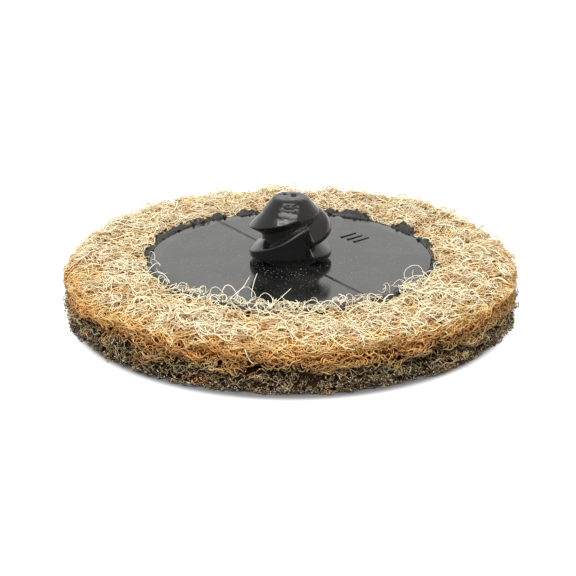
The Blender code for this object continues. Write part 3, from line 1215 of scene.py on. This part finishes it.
@dataclass
class FibreWeb:
    """The two bonded webs, as the space that their fibres fill."""

    inset: float = 1.15 * MM
    steps: int = 220
    relief: float = 0.22 * MM
    proud: float = 0.3 * MM
    tuft_size: float = 2.2 * MM
    tuft_height: float = 0.8 * MM
    lip_width: float = 2.2 * MM
    lip_fall: float = 0.8 * MM
    edge_proud: float = 0.2 * MM
    stratum_size: Triple = (2.0 * MM, 2.0 * MM, 0.65 * MM)
    stratum_depth: float = 0.85 * MM
    gap_size: Triple = (1.6 * MM, 1.6 * MM, 4.0 * MM)
    gap_height: float = 2.1 * MM
    gap_width: float = 0.6 * MM
    gap_depth: float = 1.0 * MM
    undercut: float = 0.2 * MM
    undercut_height: float = 1.0 * MM
    sway: float = 0.75 * MM
    sway_width: float = 1.5 * MM
    radius: float = field(init=False)
    top: float = field(init=False)
    seam: float = field(init=False)

    def __post_init__(self) -> None:
        """Reads the webs' sizes from the frame."""
        low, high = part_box(Node.BACKING.value)
        self.radius = (high[0] - low[0]) / 2
        self.top, self.seam = high[2], low[2]

    def gap(self, points: Points) -> Points:
        """Returns how deep the gap between the webs is at each place."""
        depth = self.gap_depth * bell(points[:, 2] - self.gap_height, self.gap_width)
        return depth * np.clip(0.5 + 2.2 * noise_at(points, self.gap_size, 27.0), 0.0, 1.0)

    def edge_radius(self, direction: Points, height: Points) -> Points:
        """Works out how far out the cut edge's fibres reach.

        Args:
            direction: Angles round the axis, in radians.
            height: Heights above the working face.

        Returns:
            The radius at each place.
        """
        around = polar(direction, self.radius, height)
        hollow = np.clip(0.5 + 0.8 * noise_at(around, self.stratum_size, 21.0), 0.0, 1.0)
        under = self.undercut * smooth_step(height, self.undercut_height, 0.0)
        inside = (self.stratum_depth + self.gap(around)) * hollow
        return self.radius + self.edge_proud - inside - under

    def seam_sway(self, points: Points) -> Points:
        """Returns how far the seam between the webs wanders up or down at each place."""
        sway = flat_noise(points, 3.6 * MM, 63.0) + 0.5 * flat_noise(points, 1.5 * MM, 65.0)
        return self.sway * sway * bell(points[:, 2] - self.seam, self.sway_width)

    def lip(self, points: Points) -> Points:
        """Returns how far points lie down the rounded lip, from 0 to 1."""
        return smooth_step(distance(points), self.radius - self.lip_width, self.radius)

    def back_height(self, points: Points) -> Points:
        """Works out how high the back's matted fibres stand.

        Args:
            points: Places over or in the web.

        Returns:
            The height at each place.
        """
        hollow = 0.5 + 0.6 * flat_noise(points, self.tuft_size, 33.0)
        hollow += 0.3 * flat_noise(points, self.tuft_size / 2, 35.0)
        height = self.top + self.proud - self.tuft_height * np.clip(hollow, 0.0, 1.0)
        facing = points[:, 1] / np.maximum(distance(points), MERGE)
        share = 1 + 0.35 * (1 - facing ** 2) - 0.65 * smooth_step(facing, 0.2, 0.9)
        return height - self.lip_fall * share * self.lip(points)

    def core(self, name: str, low: float, high: float, material: Finish, node: Node,
             pocket: Pair | None = None) -> Piece:
        """Builds the fused body under the fibres, which shows dark in their gaps as painted shade.

        Args:
            name: The piece's name.
            low: The height of its underside.
            high: The height of its back.
            material: Its finish.
            node: The solid it stands for.
            pocket: The radius and the floor's height of the pocket in its back, if any.

        Returns:
            The body.
        """
        outer = self.radius - self.inset
        inner, floor = pocket or (0.0, high)
        side = high - self.lip_fall if pocket else high
        first = 0 if pocket else 1
        profile = [
            (0.0, floor), *([(inner, floor)] if pocket else []),
            *straight((inner, high), (outer, high), 22, first),
            *straight((outer, side), (outer, low), 8, first),
            *straight((outer, low), (0.0, low), 12),
        ]

        def rough(points: Points) -> Points:
            """Roughens the edge, and rounds the back if it has a pocket.

            Args:
                points: The body's vertices.

            Returns:
                Their new places.
            """
            radius = np.maximum(distance(points), MERGE)
            on_back = (points[:, 2] > high - MERGE) & (radius > inner + MERGE) & (inner > 0)
            swell = noise_at(points, (1.3 * MM, 1.3 * MM, 0.6 * MM), 45.0)
            swell += 0.4 * noise_at(points, 0.5 * MM, 51.0)
            swell = self.relief * (swell - 1)
            draw = (radius > outer - MERGE) * (swell - self.gap(points))
            rise = on_back * (swell - self.lip_fall * self.lip(points))
            return put_at(points, radius + draw, points[:, 2] + rise)

        body = to_object(name, turned(profile, self.steps))
        reshape(body.data, rough)
        return fit_out(body, material, node)


@dataclass(frozen=True)
class Curl:
    """How one kind of fibre is bent: lengths in metres, its slope in radians."""

    length: float = 4.6 * MM
    radius: float = 1.5 * MM
    spread: float = 0.45
    wander: float = 0.5
    slope: float = radians(26.0)
    wave: float = 3.4 * MM
    thickness: float = 0.128 * MM
    lumpy: float = 0.08

    def paths(self, rng: Chance, centres: Points, count: int) -> Points:
        """Draws curly paths through their middle points.

        Args:
            rng: The source of chance.
            centres: The middle of each path.
            count: How many points each path has.

        Returns:
            The points, as fibres by points by axes.
        """
        column = len(centres), 1
        along = np.linspace(0.0, 1.0, count)[None, :]
        length = self.length * rng.uniform(0.6, 1.3, column)
        step = length / (count - 1)
        bend = rng.lognormal(0.0, self.spread, column) / self.radius
        bend *= rng.choice((-1.0, 1.0), column)
        waves = tau * along * length / self.wave
        change = 1 + self.wander * np.sin(waves + rng.uniform(0.0, tau, column))
        heading = rng.uniform(0.0, tau, column) + np.cumsum(bend * change * step, axis=1)
        steep = self.slope * rng.uniform(0.3, 1.3, column)
        slope = steep * np.sin(waves + rng.uniform(0.0, tau, column))
        steps = np.stack([np.cos(slope) * np.cos(heading), np.cos(slope) * np.sin(heading),
                          np.sin(slope)], axis=2)
        paths = np.cumsum(steps * step[:, :, None], axis=1)
        return paths + (centres - paths.mean(axis=1))[:, None, :]


def smooth_path(points: Sequence[Triple], count: int) -> Points:
    """Reads a smooth path through a few points.

    Args:
        points: The points that it passes through, in millimetres.
        count: How many points are read.

    Returns:
        The points, in metres.
    """
    knots = np.array(points) * MM
    padded = np.concatenate([[2 * knots[0] - knots[1]], knots, [2 * knots[-1] - knots[-2]]])
    place = np.linspace(0.0, len(knots) - 1, count)
    span = np.minimum(place.astype(int), len(knots) - 2)
    share = (place - span)[:, None]
    before, start, end, after = (padded[span + i] for i in range(4))
    return 0.5 * (
        2 * start + (end - before) * share
        + (2 * before - 5 * start + 4 * end - after) * share ** 2
        + (3 * start - before - 3 * end + after) * share ** 3
    )


class FibreSpinner:
    """Turns paths into thin three-sided fibres, as one mesh."""

    SIDES = 3
    CELL_COLUMNS = 24
    CELL_MARGIN = 0.1
    CAP_SIZE = 0.0004

    def __init__(self, thickness: float) -> None:
        """Makes the section that every fibre has.

        Args:
            thickness: How thick the fibres are.
        """
        section = bpy.data.curves.new("fibre_section", "CURVE")
        outline = section.splines.new("POLY")
        outline.points.add(self.SIDES - 1)
        for index, point in enumerate(outline.points):
            angle = tau * index / self.SIDES
            point.co = (thickness / 2 * cos(angle), thickness / 2 * sin(angle), 0.0, 1.0)
        outline.use_cyclic_u = True
        self.section = bpy.data.objects.new("fibre_section", section)

    def spin(self, name: str, paths: Points, widths: Points) -> Piece:
        """Makes the fibres.

        Args:
            name: The piece's name.
            paths: The fibres' points.
            widths: The share of the full thickness at each point.

        Returns:
            The piece, with its ends open.
        """
        curve = bpy.data.curves.new(name, "CURVE")
        curve.dimensions = "3D"
        curve.bevel_mode = "OBJECT"
        curve.bevel_object = self.section
        ones = np.ones((paths.shape[1], 1))
        for path, width in zip(paths, widths):
            spline = curve.splines.new("POLY")
            spline.points.add(len(path) - 1)
            spline.points.foreach_set("co", np.concatenate([path, ones], axis=1).ravel())
            spline.points.foreach_set("radius", width)
        holder = bpy.data.objects.new(name, curve)
        scene = bpy.context.scene.collection.objects
        scene.link(self.section)
        scene.link(holder)
        bpy.context.view_layer.update()
        graph = bpy.context.evaluated_depsgraph_get()
        mesh = bpy.data.meshes.new_from_object(holder.evaluated_get(graph))
        scene.unlink(self.section)
        bpy.data.objects.remove(holder)
        bpy.data.curves.remove(curve)
        mesh.name = name
        piece = bpy.data.objects.new(name, mesh)
        scene.link(piece)
        return piece

    def map_cells(self, mesh: Mesh, fibres: int, rings: int) -> None:
        """Gives each fibre a small cell of its own on the bake map.

        Args:
            mesh: The fibres, with their ends open.
            fibres: How many fibres there are.
            rings: How many points each has.
        """
        corners = np.empty(len(mesh.loops), np.int64)
        mesh.loops.foreach_get("vertex_index", corners)
        fibre, place = np.divmod(corners, rings * self.SIDES)
        ring, side = np.divmod(place, self.SIDES)
        side = side.reshape(-1, 4).astype(float)
        wraps = side.max(axis=1) - side.min(axis=1) > 1.5
        side[wraps] = np.where(side[wraps] < 0.5, self.SIDES, side[wraps])
        row, column = np.divmod(fibre, self.CELL_COLUMNS)
        used = 1 - 2 * self.CELL_MARGIN
        u = (column + self.CELL_MARGIN + used * ring / (rings - 1)) / self.CELL_COLUMNS
        v = row + self.CELL_MARGIN + used * side.ravel() / self.SIDES
        v /= -(-fibres // self.CELL_COLUMNS)
        while mesh.uv_layers:
            mesh.uv_layers.remove(mesh.uv_layers[0])
        layer = mesh.uv_layers.new(name=BAKE_MAP)
        layer.data.foreach_set("uv", np.stack([u, v], 1).ravel())

    def close_ends(self, mesh: Mesh) -> None:
        """Caps both ends of each fibre, and gives each cap a corner of its cell.

        Args:
            mesh: The fibres, with their ends open.
        """
        bm = bmesh.new()
        bm.from_mesh(mesh)
        rims = [edge for edge in bm.edges if edge.is_boundary]
        caps = bmesh.ops.holes_fill(bm, edges=rims, sides=self.SIDES)["faces"]
        layer = bm.loops.layers.uv[BAKE_MAP]
        nudges = Vector((0.0, 0.0)), Vector((self.CAP_SIZE, 0.0)), Vector((0.0, self.CAP_SIZE))
        for cap in caps:
            for loop, nudge in zip(cap.loops, nudges):
                loop[layer].uv = cap.loops[0].link_loop_radial_next[layer].uv + nudge
        bmesh.ops.recalc_face_normals(bm, faces=bm.faces)
        bm.to_mesh(mesh)
        bm.free()


def write_values(mesh: Mesh, name: str, values: Points) -> None:
    """Writes one value to each vertex, as an attribute that the finish reads."""
    layer = mesh.attributes.new(name, "FLOAT", "POINT")
    layer.data.foreach_set("value", values.astype(np.float32).ravel())


@dataclass
class FibreLayer:
    """One batch of fibres: where they start, how they bend and what holds them in."""

    name: str
    seed: int
    count: int
    rings: int
    curl: Curl
    place: Callable[[Chance, int], Points]
    hold: Callable[[Points], Points]
    depth: Callable[[Points], Points]
    node: Node = Node.BACKING
    tone: Pair = (0.0, 1.0)
    uneven: float = 0.2
    thinnest: float = 0.55
    thickest: float = 2.4

    def draw(self, rng: Chance) -> Points:
        """Draws the fibres' paths, as fibres by points by axes."""
        paths = self.curl.paths(rng, self.place(rng, self.count), self.rings)
        return self.hold(paths.reshape(-1, 3)).reshape(paths.shape)

    def build(self, material: Finish) -> Piece:
        """Builds and dresses the batch.

        Args:
            material: Its finish.

        Returns:
            The fibres, as one piece.
        """
        rng = np.random.default_rng(self.seed)
        paths = self.draw(rng)
        widths = 1 + self.curl.lumpy * rng.normal(0.0, 1.0, paths.shape[:2])
        widths *= rng.lognormal(0.0, self.uneven, (self.count, 1))
        widths = np.clip(widths, self.thinnest, self.thickest)
        widths[:, (0, -1)] *= self.thinnest
        spinner = FibreSpinner(self.curl.thickness)
        piece = spinner.spin(self.name, paths, widths)
        spinner.map_cells(piece.data, self.count, self.rings)
        tone = rng.uniform(*self.tone, self.count)
        write_values(piece.data, "tone", np.repeat(tone, self.rings * spinner.SIDES))
        depth = self.depth(paths.reshape(-1, 3))
        write_values(piece.data, "depth", np.repeat(depth, spinner.SIDES))
        spinner.close_ends(piece.data)
        piece.data.shade_smooth()
        return fit_out(piece, material, self.node)


class StrayLayer(FibreLayer):
    """The longest stray fibres, along paths of their own."""

    def draw(self, rng: Chance) -> Points:
        """Reads the paths from the table of strays."""
        return np.array([smooth_path(row, self.rings) for row in STRAYS])


@dataclass
class FibreMat:
    """All the fibres of both webs: the rules that place them and hold them in."""

    web: FibreWeb
    button: ThreadedButton
    lean: float = 0.15 * MM
    top_depth: float = 1.1 * MM
    edge_depth: float = 1.15 * MM
    strand_heights: Pair = (1.3, 3.8)
    fringe_direction: float = -pi / 2
    fringe_spread: float = radians(34.0)
    fringe_height: float = 1.3 * MM

    def hold_back(self, points: Points) -> Points:
        """Keeps fibres of the back inside the web and off the plate.

        Args:
            points: The fibres' points.

        Returns:
            Their new places.
        """
        direction = angle_of(points)
        height = smooth_cap(points[:, 2], self.web.back_height(points) + 0.1 * MM, 0.32 * MM)
        height = np.maximum(height, self.web.seam)
        over = np.clip((height - self.button.plate_top + 0.1 * MM) / (0.3 * MM), 0.0, 1.0)
        front = np.clip(0.15 - 1.3 * np.sin(direction), 0.0, 1.0)
        inner = self.button.plate_radius + self.button.flash(direction)[0] + 0.1 * MM
        inner -= self.lean * over * front
        radius = smooth_floor(np.maximum(distance(points), MERGE), inner, 0.08 * MM)
        radius = smooth_cap(radius, self.web.edge_radius(direction, height), 0.3 * MM)
        return put_at(points, radius, height)

    def hold_edge(self, points: Points) -> Points:
        """Keeps fibres of the cut edge inside the web.

        Args:
            points: The fibres' points.

        Returns:
            Their new places.
        """
        height = smooth_cap(points[:, 2], self.web.back_height(points), 0.25 * MM)
        height = smooth_floor(height, 0.08 * MM, 0.08 * MM)
        most = self.web.edge_radius(angle_of(points), height) + 0.1 * MM
        radius = smooth_cap(np.maximum(distance(points), MERGE), most, 0.35 * MM)
        return put_at(points, radius, height)

    def hold_face(self, points: Points) -> Points:
        """Keeps fibres of the working face flat, as it is cut.

        Args:
            points: The fibres' points.

        Returns:
            Their new places.
        """
        held = self.hold_edge(points)
        held[:, 2] = smooth_floor(held[:, 2], 0.09 * MM, 0.03 * MM)
        return held

    def hold_proud(self, points: Points) -> Points:
        """Keeps fibres that stand proud of the back off the plate and inside the edge.

        Args:
            points: The fibres' points.

        Returns:
            Their new places.
        """
        held = self.hold_back(points)
        most = self.web.back_height(points) + 0.55 * MM
        held[:, 2] = np.maximum(held[:, 2], smooth_cap(points[:, 2], most, 0.2 * MM))
        return held

    def hold_fringe(self, points: Points) -> Points:
        """Keeps the fringe over the plate, and over the web's back.

        Args:
            points: The fibres' points.

        Returns:
            Their new places.
        """
        over_plate = distance(points) < self.button.plate_radius + 0.4 * MM
        base = np.where(over_plate, self.button.plate_top + 0.12 * MM, self.web.top - 0.3 * MM)
        held = points.copy()
        held[:, 2] = smooth_cap(smooth_floor(held[:, 2], base, 0.06 * MM),
                                self.web.top + self.fringe_height, 0.2 * MM)
        return held

    def in_back(self, rng: Chance, count: int) -> Points:
        """Scatters middle points through the back.

        Args:
            rng: The source of chance.
            count: How many points.

        Returns:
            The points.
        """
        inner = self.button.plate_radius + 0.3 * MM
        radius = np.sqrt(rng.uniform(inner ** 2, self.web.radius ** 2, count))
        places = polar(rng.uniform(0.0, tau, count), radius, radius)
        under = self.top_depth * rng.uniform(0.0, 1.0, count) ** 1.2
        places[:, 2] = self.web.back_height(places) - under
        return places

    def on_back(self, rng: Chance, count: int) -> Points:
        """Scatters middle points just over the back.

        Args:
            rng: The source of chance.
            count: How many points.

        Returns:
            The points.
        """
        places = self.in_back(rng, count)
        places[:, 2] = self.web.back_height(places) + rng.uniform(0.0, 0.2, count) * MM
        return places

    def in_edge(self, low: float, high: float) -> Callable[[Chance, int], Points]:
        """Returns a rule that scatters middle points along the cut edge.

        Args:
            low: The lowest height.
            high: The highest height.

        Returns:
            The rule.
        """
        def spread(rng: Chance, count: int) -> Points:
            """Scatters the points, closer together where the lip leaves less height.

            Args:
                rng: The source of chance.
                count: How many points.

            Returns:
                The points.
            """
            direction = rng.uniform(0.0, tau, count)
            height = rng.uniform(low, high, count)
            inside = 0.15 * MM + self.edge_depth * rng.uniform(0.0, 1.0, count) ** 1.3
            places = polar(direction, self.web.edge_radius(direction, height) - inside, height)
            most = np.minimum(self.web.back_height(places) - 0.2 * MM, high)
            places[:, 2] = low + (most - low) * (height - low) / (high - low)
            places[:, 2] += self.web.seam_sway(places)
            return places

        return spread

    def on_edge(self, rng: Chance, count: int) -> Points:
        """Scatters middle points of long strands that lie along the cut edge."""
        direction = rng.uniform(0.0, tau, count)
        height = rng.uniform(*self.strand_heights, count) * MM
        return polar(direction, self.web.edge_radius(direction, height) + 0.1 * MM, height)

    def in_face(self, rng: Chance, count: int) -> Points:
        """Scatters middle points over the working face.

        Args:
            rng: The source of chance.
            count: How many points.

        Returns:
            The points.
        """
        radius = self.web.radius * np.sqrt(rng.uniform(0.0, 1.0, count))
        direction = rng.uniform(0.0, tau, count)
        return polar(direction, radius, rng.uniform(0.08 * MM, 0.5 * MM, count))

    def in_fringe(self, rng: Chance, count: int) -> Points:
        """Scatters middle points along the plate's edge, most of them at its front.

        Args:
            rng: The source of chance.
            count: How many points.

        Returns:
            The points.
        """
        direction = rng.normal(self.fringe_direction, self.fringe_spread, count)
        radius = self.button.plate_radius + rng.uniform(-0.6, 1.3, count) * MM
        return polar(direction, radius, self.web.top + rng.uniform(-0.1, 0.6, count) * MM)

    def no_depth(self, points: Points) -> Points:
        """Returns no depth for any point."""
        return np.zeros(len(points))

    def back_depth(self, points: Points) -> Points:
        """Returns how deep points lie under the back, from 0 to 1."""
        under = self.web.back_height(points) - points[:, 2]
        return np.clip((under - 0.1 * MM) / (0.8 * MM), 0.0, 1.0)

    def edge_in(self, points: Points) -> Points:
        """Returns how deep points lie inside the cut edge, from 0 to 1."""
        inside = self.web.radius - distance(points)
        return np.clip((inside - 0.35 * MM) / (0.9 * MM), 0.0, 1.0)

    def layers(self) -> list[FibreLayer]:
        """Describes every batch of fibres.

        Returns:
            The batches, from the back to the working face.
        """
        curly = Curl(radius=1.05 * MM, spread=0.55, slope=radians(50.0), wave=3.0 * MM,
                     thickness=0.114 * MM)
        matted = Curl(length=3.2 * MM, radius=1.0 * MM, spread=0.7, slope=radians(60.0),
                      wave=2.4 * MM, thickness=0.118 * MM)
        gritty = Curl(length=2.0 * MM, radius=0.75 * MM, slope=radians(58.0), wave=1.6 * MM,
                      thickness=0.13 * MM, lumpy=0.4)
        stray = Curl(thickness=0.085 * MM, lumpy=0.05)
        fringe = Curl(length=3.4 * MM, radius=0.95 * MM, spread=0.6, slope=radians(58.0),
                      wave=2.6 * MM, thickness=0.078 * MM, lumpy=0.04)
        long = Curl(length=5.5 * MM, radius=1.5 * MM, spread=0.6, slope=radians(40.0),
                    wave=3.6 * MM, thickness=0.1 * MM, lumpy=0.04)
        strand = Curl(length=2.8 * MM, radius=1.3 * MM, spread=0.6, slope=radians(58.0),
                      wave=1.9 * MM, thickness=0.088 * MM, lumpy=0.15)
        back = (curly, self.in_back, self.hold_back, self.back_depth)
        hold, inside, grit = self.hold_edge, self.edge_in, Node.ABRASIVE
        whole = self.in_edge(self.web.seam - 0.3 * MM, self.web.top - 0.2 * MM)
        lower, upper = self.in_edge(0.1 * MM, 1.7 * MM), self.in_edge(1.4 * MM, self.web.seam)
        return [
            FibreLayer("back_fibres_upper", 1, 2800, 11, *back),
            FibreLayer("back_fibres_lower", 2, 2800, 10, *back),
            FibreLayer("fringe_fibres", 8, 120, 14, fringe, self.in_fringe, self.hold_fringe,
                       self.no_depth, tone=(0.7, 1.6)),
            FibreLayer("long_fibres", 9, 460, 14, long, self.on_back, self.hold_proud,
                       self.no_depth, tone=(0.7, 1.3)),
            FibreLayer("edge_strands", 10, 640, 10, strand, self.on_edge, hold, self.no_depth,
                       tone=(0.6, 1.25)),
            FibreLayer("cut_edge_fibres", 3, 3000, 9, matted, whole, hold, inside),
            FibreLayer("gritty_lower_fibres", 4, 1500, 8, gritty, lower, hold, inside, grit),
            FibreLayer("gritty_upper_fibres", 6, 760, 8, gritty, upper, hold, inside, grit),
            FibreLayer("working_face_fibres", 5, 1300, 7, gritty, self.in_face, self.hold_face,
                       self.no_depth, grit),
            StrayLayer("stray_fibres", 7, len(STRAYS), 17, stray, self.in_back, self.hold_back,
                       self.no_depth, tone=(1.5, 1.9)),
        ]


@dataclass
class GritGrains:
    """Grains of mineral, bonded to the fibres of the working layer."""

    web: FibreWeb
    clumps: int = 360
    clump_grains: int = 8
    clump_size: float = 0.22 * MM
    face_count: int = 400
    smallest: float = 0.04 * MM
    largest: float = 0.11 * MM
    level: float = 0.12 * MM

    def places(self, rng: Chance) -> Points:
        """Scatters grains along the cut edge and over the working face.

        Args:
            rng: The source of chance.

        Returns:
            The grains' middles.
        """
        direction = rng.uniform(0.0, tau, self.clumps)
        height = rng.uniform(0.1, 1.25, self.clumps) * MM
        radius = self.web.edge_radius(direction, height)
        radius -= rng.uniform(0.25, 0.6, self.clumps) * MM
        edge = np.repeat(polar(direction, radius, height), self.clump_grains, axis=0)
        edge += self.clump_size * np.clip(rng.normal(0.0, 1.0, edge.shape), -1.2, 1.2)
        edge[:, 2] = np.abs(edge[:, 2] - self.largest) + self.largest
        direction = rng.uniform(0.0, tau, self.face_count)
        radius = (self.web.radius - 0.5 * MM) * np.sqrt(rng.uniform(0.0, 1.0, self.face_count))
        face = polar(direction, radius, np.full(self.face_count, self.level))
        return np.concatenate([edge, face])

    def build(self, material: Finish) -> Piece:
        """Builds and dresses the grains.

        Args:
            material: Their finish.

        Returns:
            The grains, as one piece.
        """
        rng = np.random.default_rng(61)
        places = self.places(rng)
        sizes = rng.uniform(self.smallest, self.largest, (len(places), 1))
        sizes = sizes * rng.uniform(0.7, 1.4, (len(places), 3))
        grains = scatter("grit_grains", 1, places, sizes, rng, smooth=False)
        return fit_out(grains, material, Node.ABRASIVE)


@dataclass
class Studio:
    """Floor, lights and camera."""

    elevation: float = radians(20.0)
    distance: float = 0.300
    pixels_per_mm: float = 8.94
    frame_pixels: int = 576
    sensor: float = 36.0
    plate_pixel: Pair = (290.5, 257.7)
    floor_size: float = 6.0
    floor_colour: Colour = (0.25, 0.25, 0.25)
    floor_roughness: float = 0.9
    # The floor's glow fades out between these distances towards the part. Inside them the floor's
    # own dark grey shows, as a painted shadow round the part.
    painted_shadow_glow_limits: Limits = (0.0252, 0.0268, 0.0, 0.92)
    painted_shadow_squeeze: float = 1.06
    fill: float = 0.52
    key_power: float = 1.9
    key_size: Pair = (0.45, 0.3)
    key_place: Triple = (-0.045, -0.23, 0.325)
    rear_power: float = 0.23
    rear_size: Pair = (0.8, 0.26)
    rear_place: Triple = (0.0, 0.42, 0.17)

    def build_floor(self) -> None:
        """Builds the pale floor: a glow makes it white to the camera, and fades out close round the
        part as a painted shadow.
        """
        bm = bmesh.new()
        bmesh.ops.create_grid(bm, x_segments=1, y_segments=1, size=self.floor_size / 2)
        floor = to_object("floor", bm, smooth=False)
        board = MaterialBoard("floor_white_painted_shadow")
        # Painted shadow: the glow is zero near the part and full further out. It is squeezed so
        # that this painted shadow is narrower at the sides than at the front.
        squeeze = {0: board.place, 1: (self.painted_shadow_squeeze, 1.0, 1.0)}
        wide = board.add("VectorMath", squeeze, operation="MULTIPLY").outputs[0]
        away = board.add("VectorMath", {0: wide}, operation="LENGTH").outputs["Value"]
        glow_past_painted_shadow = board.span(away, *self.painted_shadow_glow_limits)
        glow_past_painted_shadow.node.interpolation_type = "SMOOTHSTEP"
        floor.data.materials.append(board.finish({
            "Base Color": self.floor_colour,
            "Roughness": self.floor_roughness,
            "Specular IOR Level": 0.0,
            "Emission Color": (1.0, 1.0, 1.0),
            "Emission Strength": board.maths("MULTIPLY", self.seen(board), glow_past_painted_shadow),
        }))

    def seen(self, board: NodeBoard) -> Socket:
        """Tells rays that come from the camera, or off or through a gloss, from the rest.

        Args:
            board: The nodes that ask.

        Returns:
            1 for those rays, and else 0.
        """
        path = board.add("LightPath").outputs
        rays = [path[f"Is {kind} Ray"] for kind in ("Camera", "Glossy", "Transmission")]
        return board.maths("MAXIMUM", *rays)

    def build_world(self) -> None:
        """Lights the scene from all round, and shows white behind it."""
        world = bpy.data.worlds.new("studio")
        world.use_nodes = True
        board = NodeBoard(world.node_tree)
        strength = board.span(self.seen(board), 0.0, 1.0, self.fill, 1.0)
        board.feed(world.node_tree.nodes["Background"],
                   {"Color": (1.0, 1.0, 1.0), "Strength": strength})
        bpy.context.scene.world = world

    def add_lamp(self, name: str, power: float, size: Pair, place: Sequence[float]) -> None:
        """Adds a soft lamp that looks at the part.

        Args:
            name: The lamp's name.
            power: Its power in watts.
            size: Its width and height.
            place: Where it stands.
        """
        lamp = bpy.data.lights.new(name, "AREA")
        lamp.shape = "RECTANGLE"
        lamp.size, lamp.size_y = size
        lamp.energy = power
        holder = bpy.data.objects.new(name, lamp)
        holder.location = place
        holder.rotation_mode = "QUATERNION"
        holder.rotation_quaternion = Vector(place).to_track_quat("Z", "Y")
        holder.visible_camera = False
        bpy.context.scene.collection.objects.link(holder)

    def build_camera(self, plate_top: float) -> None:
        """Places the camera as the photograph has it.

        Args:
            plate_top: The height of the plate's middle, which it is set by.
        """
        middle = Vector((0.0, 0.0, plate_top))
        back = Vector((0.0, -cos(self.elevation), sin(self.elevation)))
        up = Vector((0.0, sin(self.elevation), cos(self.elevation)))
        across, down = ((pixel - self.frame_pixels / 2) / self.pixels_per_mm * MM
                        for pixel in self.plate_pixel)
        target = middle - Vector((1.0, 0.0, 0.0)) * across + up * down
        lens = bpy.data.cameras.new("camera")
        lens.sensor_width = self.sensor
        focal_pixels = self.pixels_per_mm / MM * self.distance
        lens.lens = focal_pixels / self.frame_pixels * self.sensor
        lens.clip_start, lens.clip_end = 0.01, 20.0
        camera = bpy.data.objects.new("camera", lens)
        camera.location = middle + back * self.distance
        camera.rotation_mode = "QUATERNION"
        camera.rotation_quaternion = (target - camera.location).to_track_quat("-Z", "Y")
        bpy.context.scene.collection.objects.link(camera)
        bpy.context.scene.camera = camera

    def build(self, plate_top: float) -> None:
        """Builds the whole studio.

        Args:
            plate_top: The height of the plate's middle.
        """
        self.build_floor()
        self.build_world()
        self.add_lamp("key_softbox", self.key_power, self.key_size, self.key_place)
        self.add_lamp("rear_panel", self.rear_power, self.rear_size, self.rear_place)
        self.build_camera(plate_top)
        bpy.context.scene.view_settings.view_transform = "Standard"


def main() -> None:
    """Builds the disc and its studio."""
    logging.basicConfig(level=logging.INFO, format="%(name)s %(message)s")
    grain = grain_group()
    button = ThreadedButton()
    web = FibreWeb()
    nylon = NylonFinish().material(grain, button.plate_radius, button.plate_top)
    button.build(nylon)
    button.build_strokes(nylon)
    button.build_crumbs(nylon)

    # The cores' dark finish is painted shade in the gaps between the fibres.
    backing_core = CoreFinish().material("fused_backing_painted_shade", grain, web.top)
    abrasive_core = CoreFinish().material("fused_abrasive_painted_shade", grain, web.top)
    pocket = (button.plate_radius + 1.7 * MM,
              button.plate_top - button.plate_thickness - 0.1 * MM)
    web.core("backing_core", web.seam + 0.1 * MM, web.top - 0.85 * MM, backing_core,
             Node.BACKING, pocket)
    web.core("abrasive_core", 0.22 * MM, web.seam - 0.45 * MM, abrasive_core, Node.ABRASIVE)

    fibres = FibreFinish().material("curly_fibres", web.top)
    gritty = GritFinish().material("gritty_fibres", grain)
    for layer in FibreMat(web, button).layers():
        layer.build(fibres if layer.node is Node.BACKING else gritty)

    mineral = GritFinish(dark=rgb(104, 86, 56), olive=rgb(186, 166, 118), pale=rgb(246, 236, 204))
    GritGrains(web).build(mineral.material("mineral_grains", grain))

    Studio().build(button.plate_top)


if __name__ == "__main__":
    main()
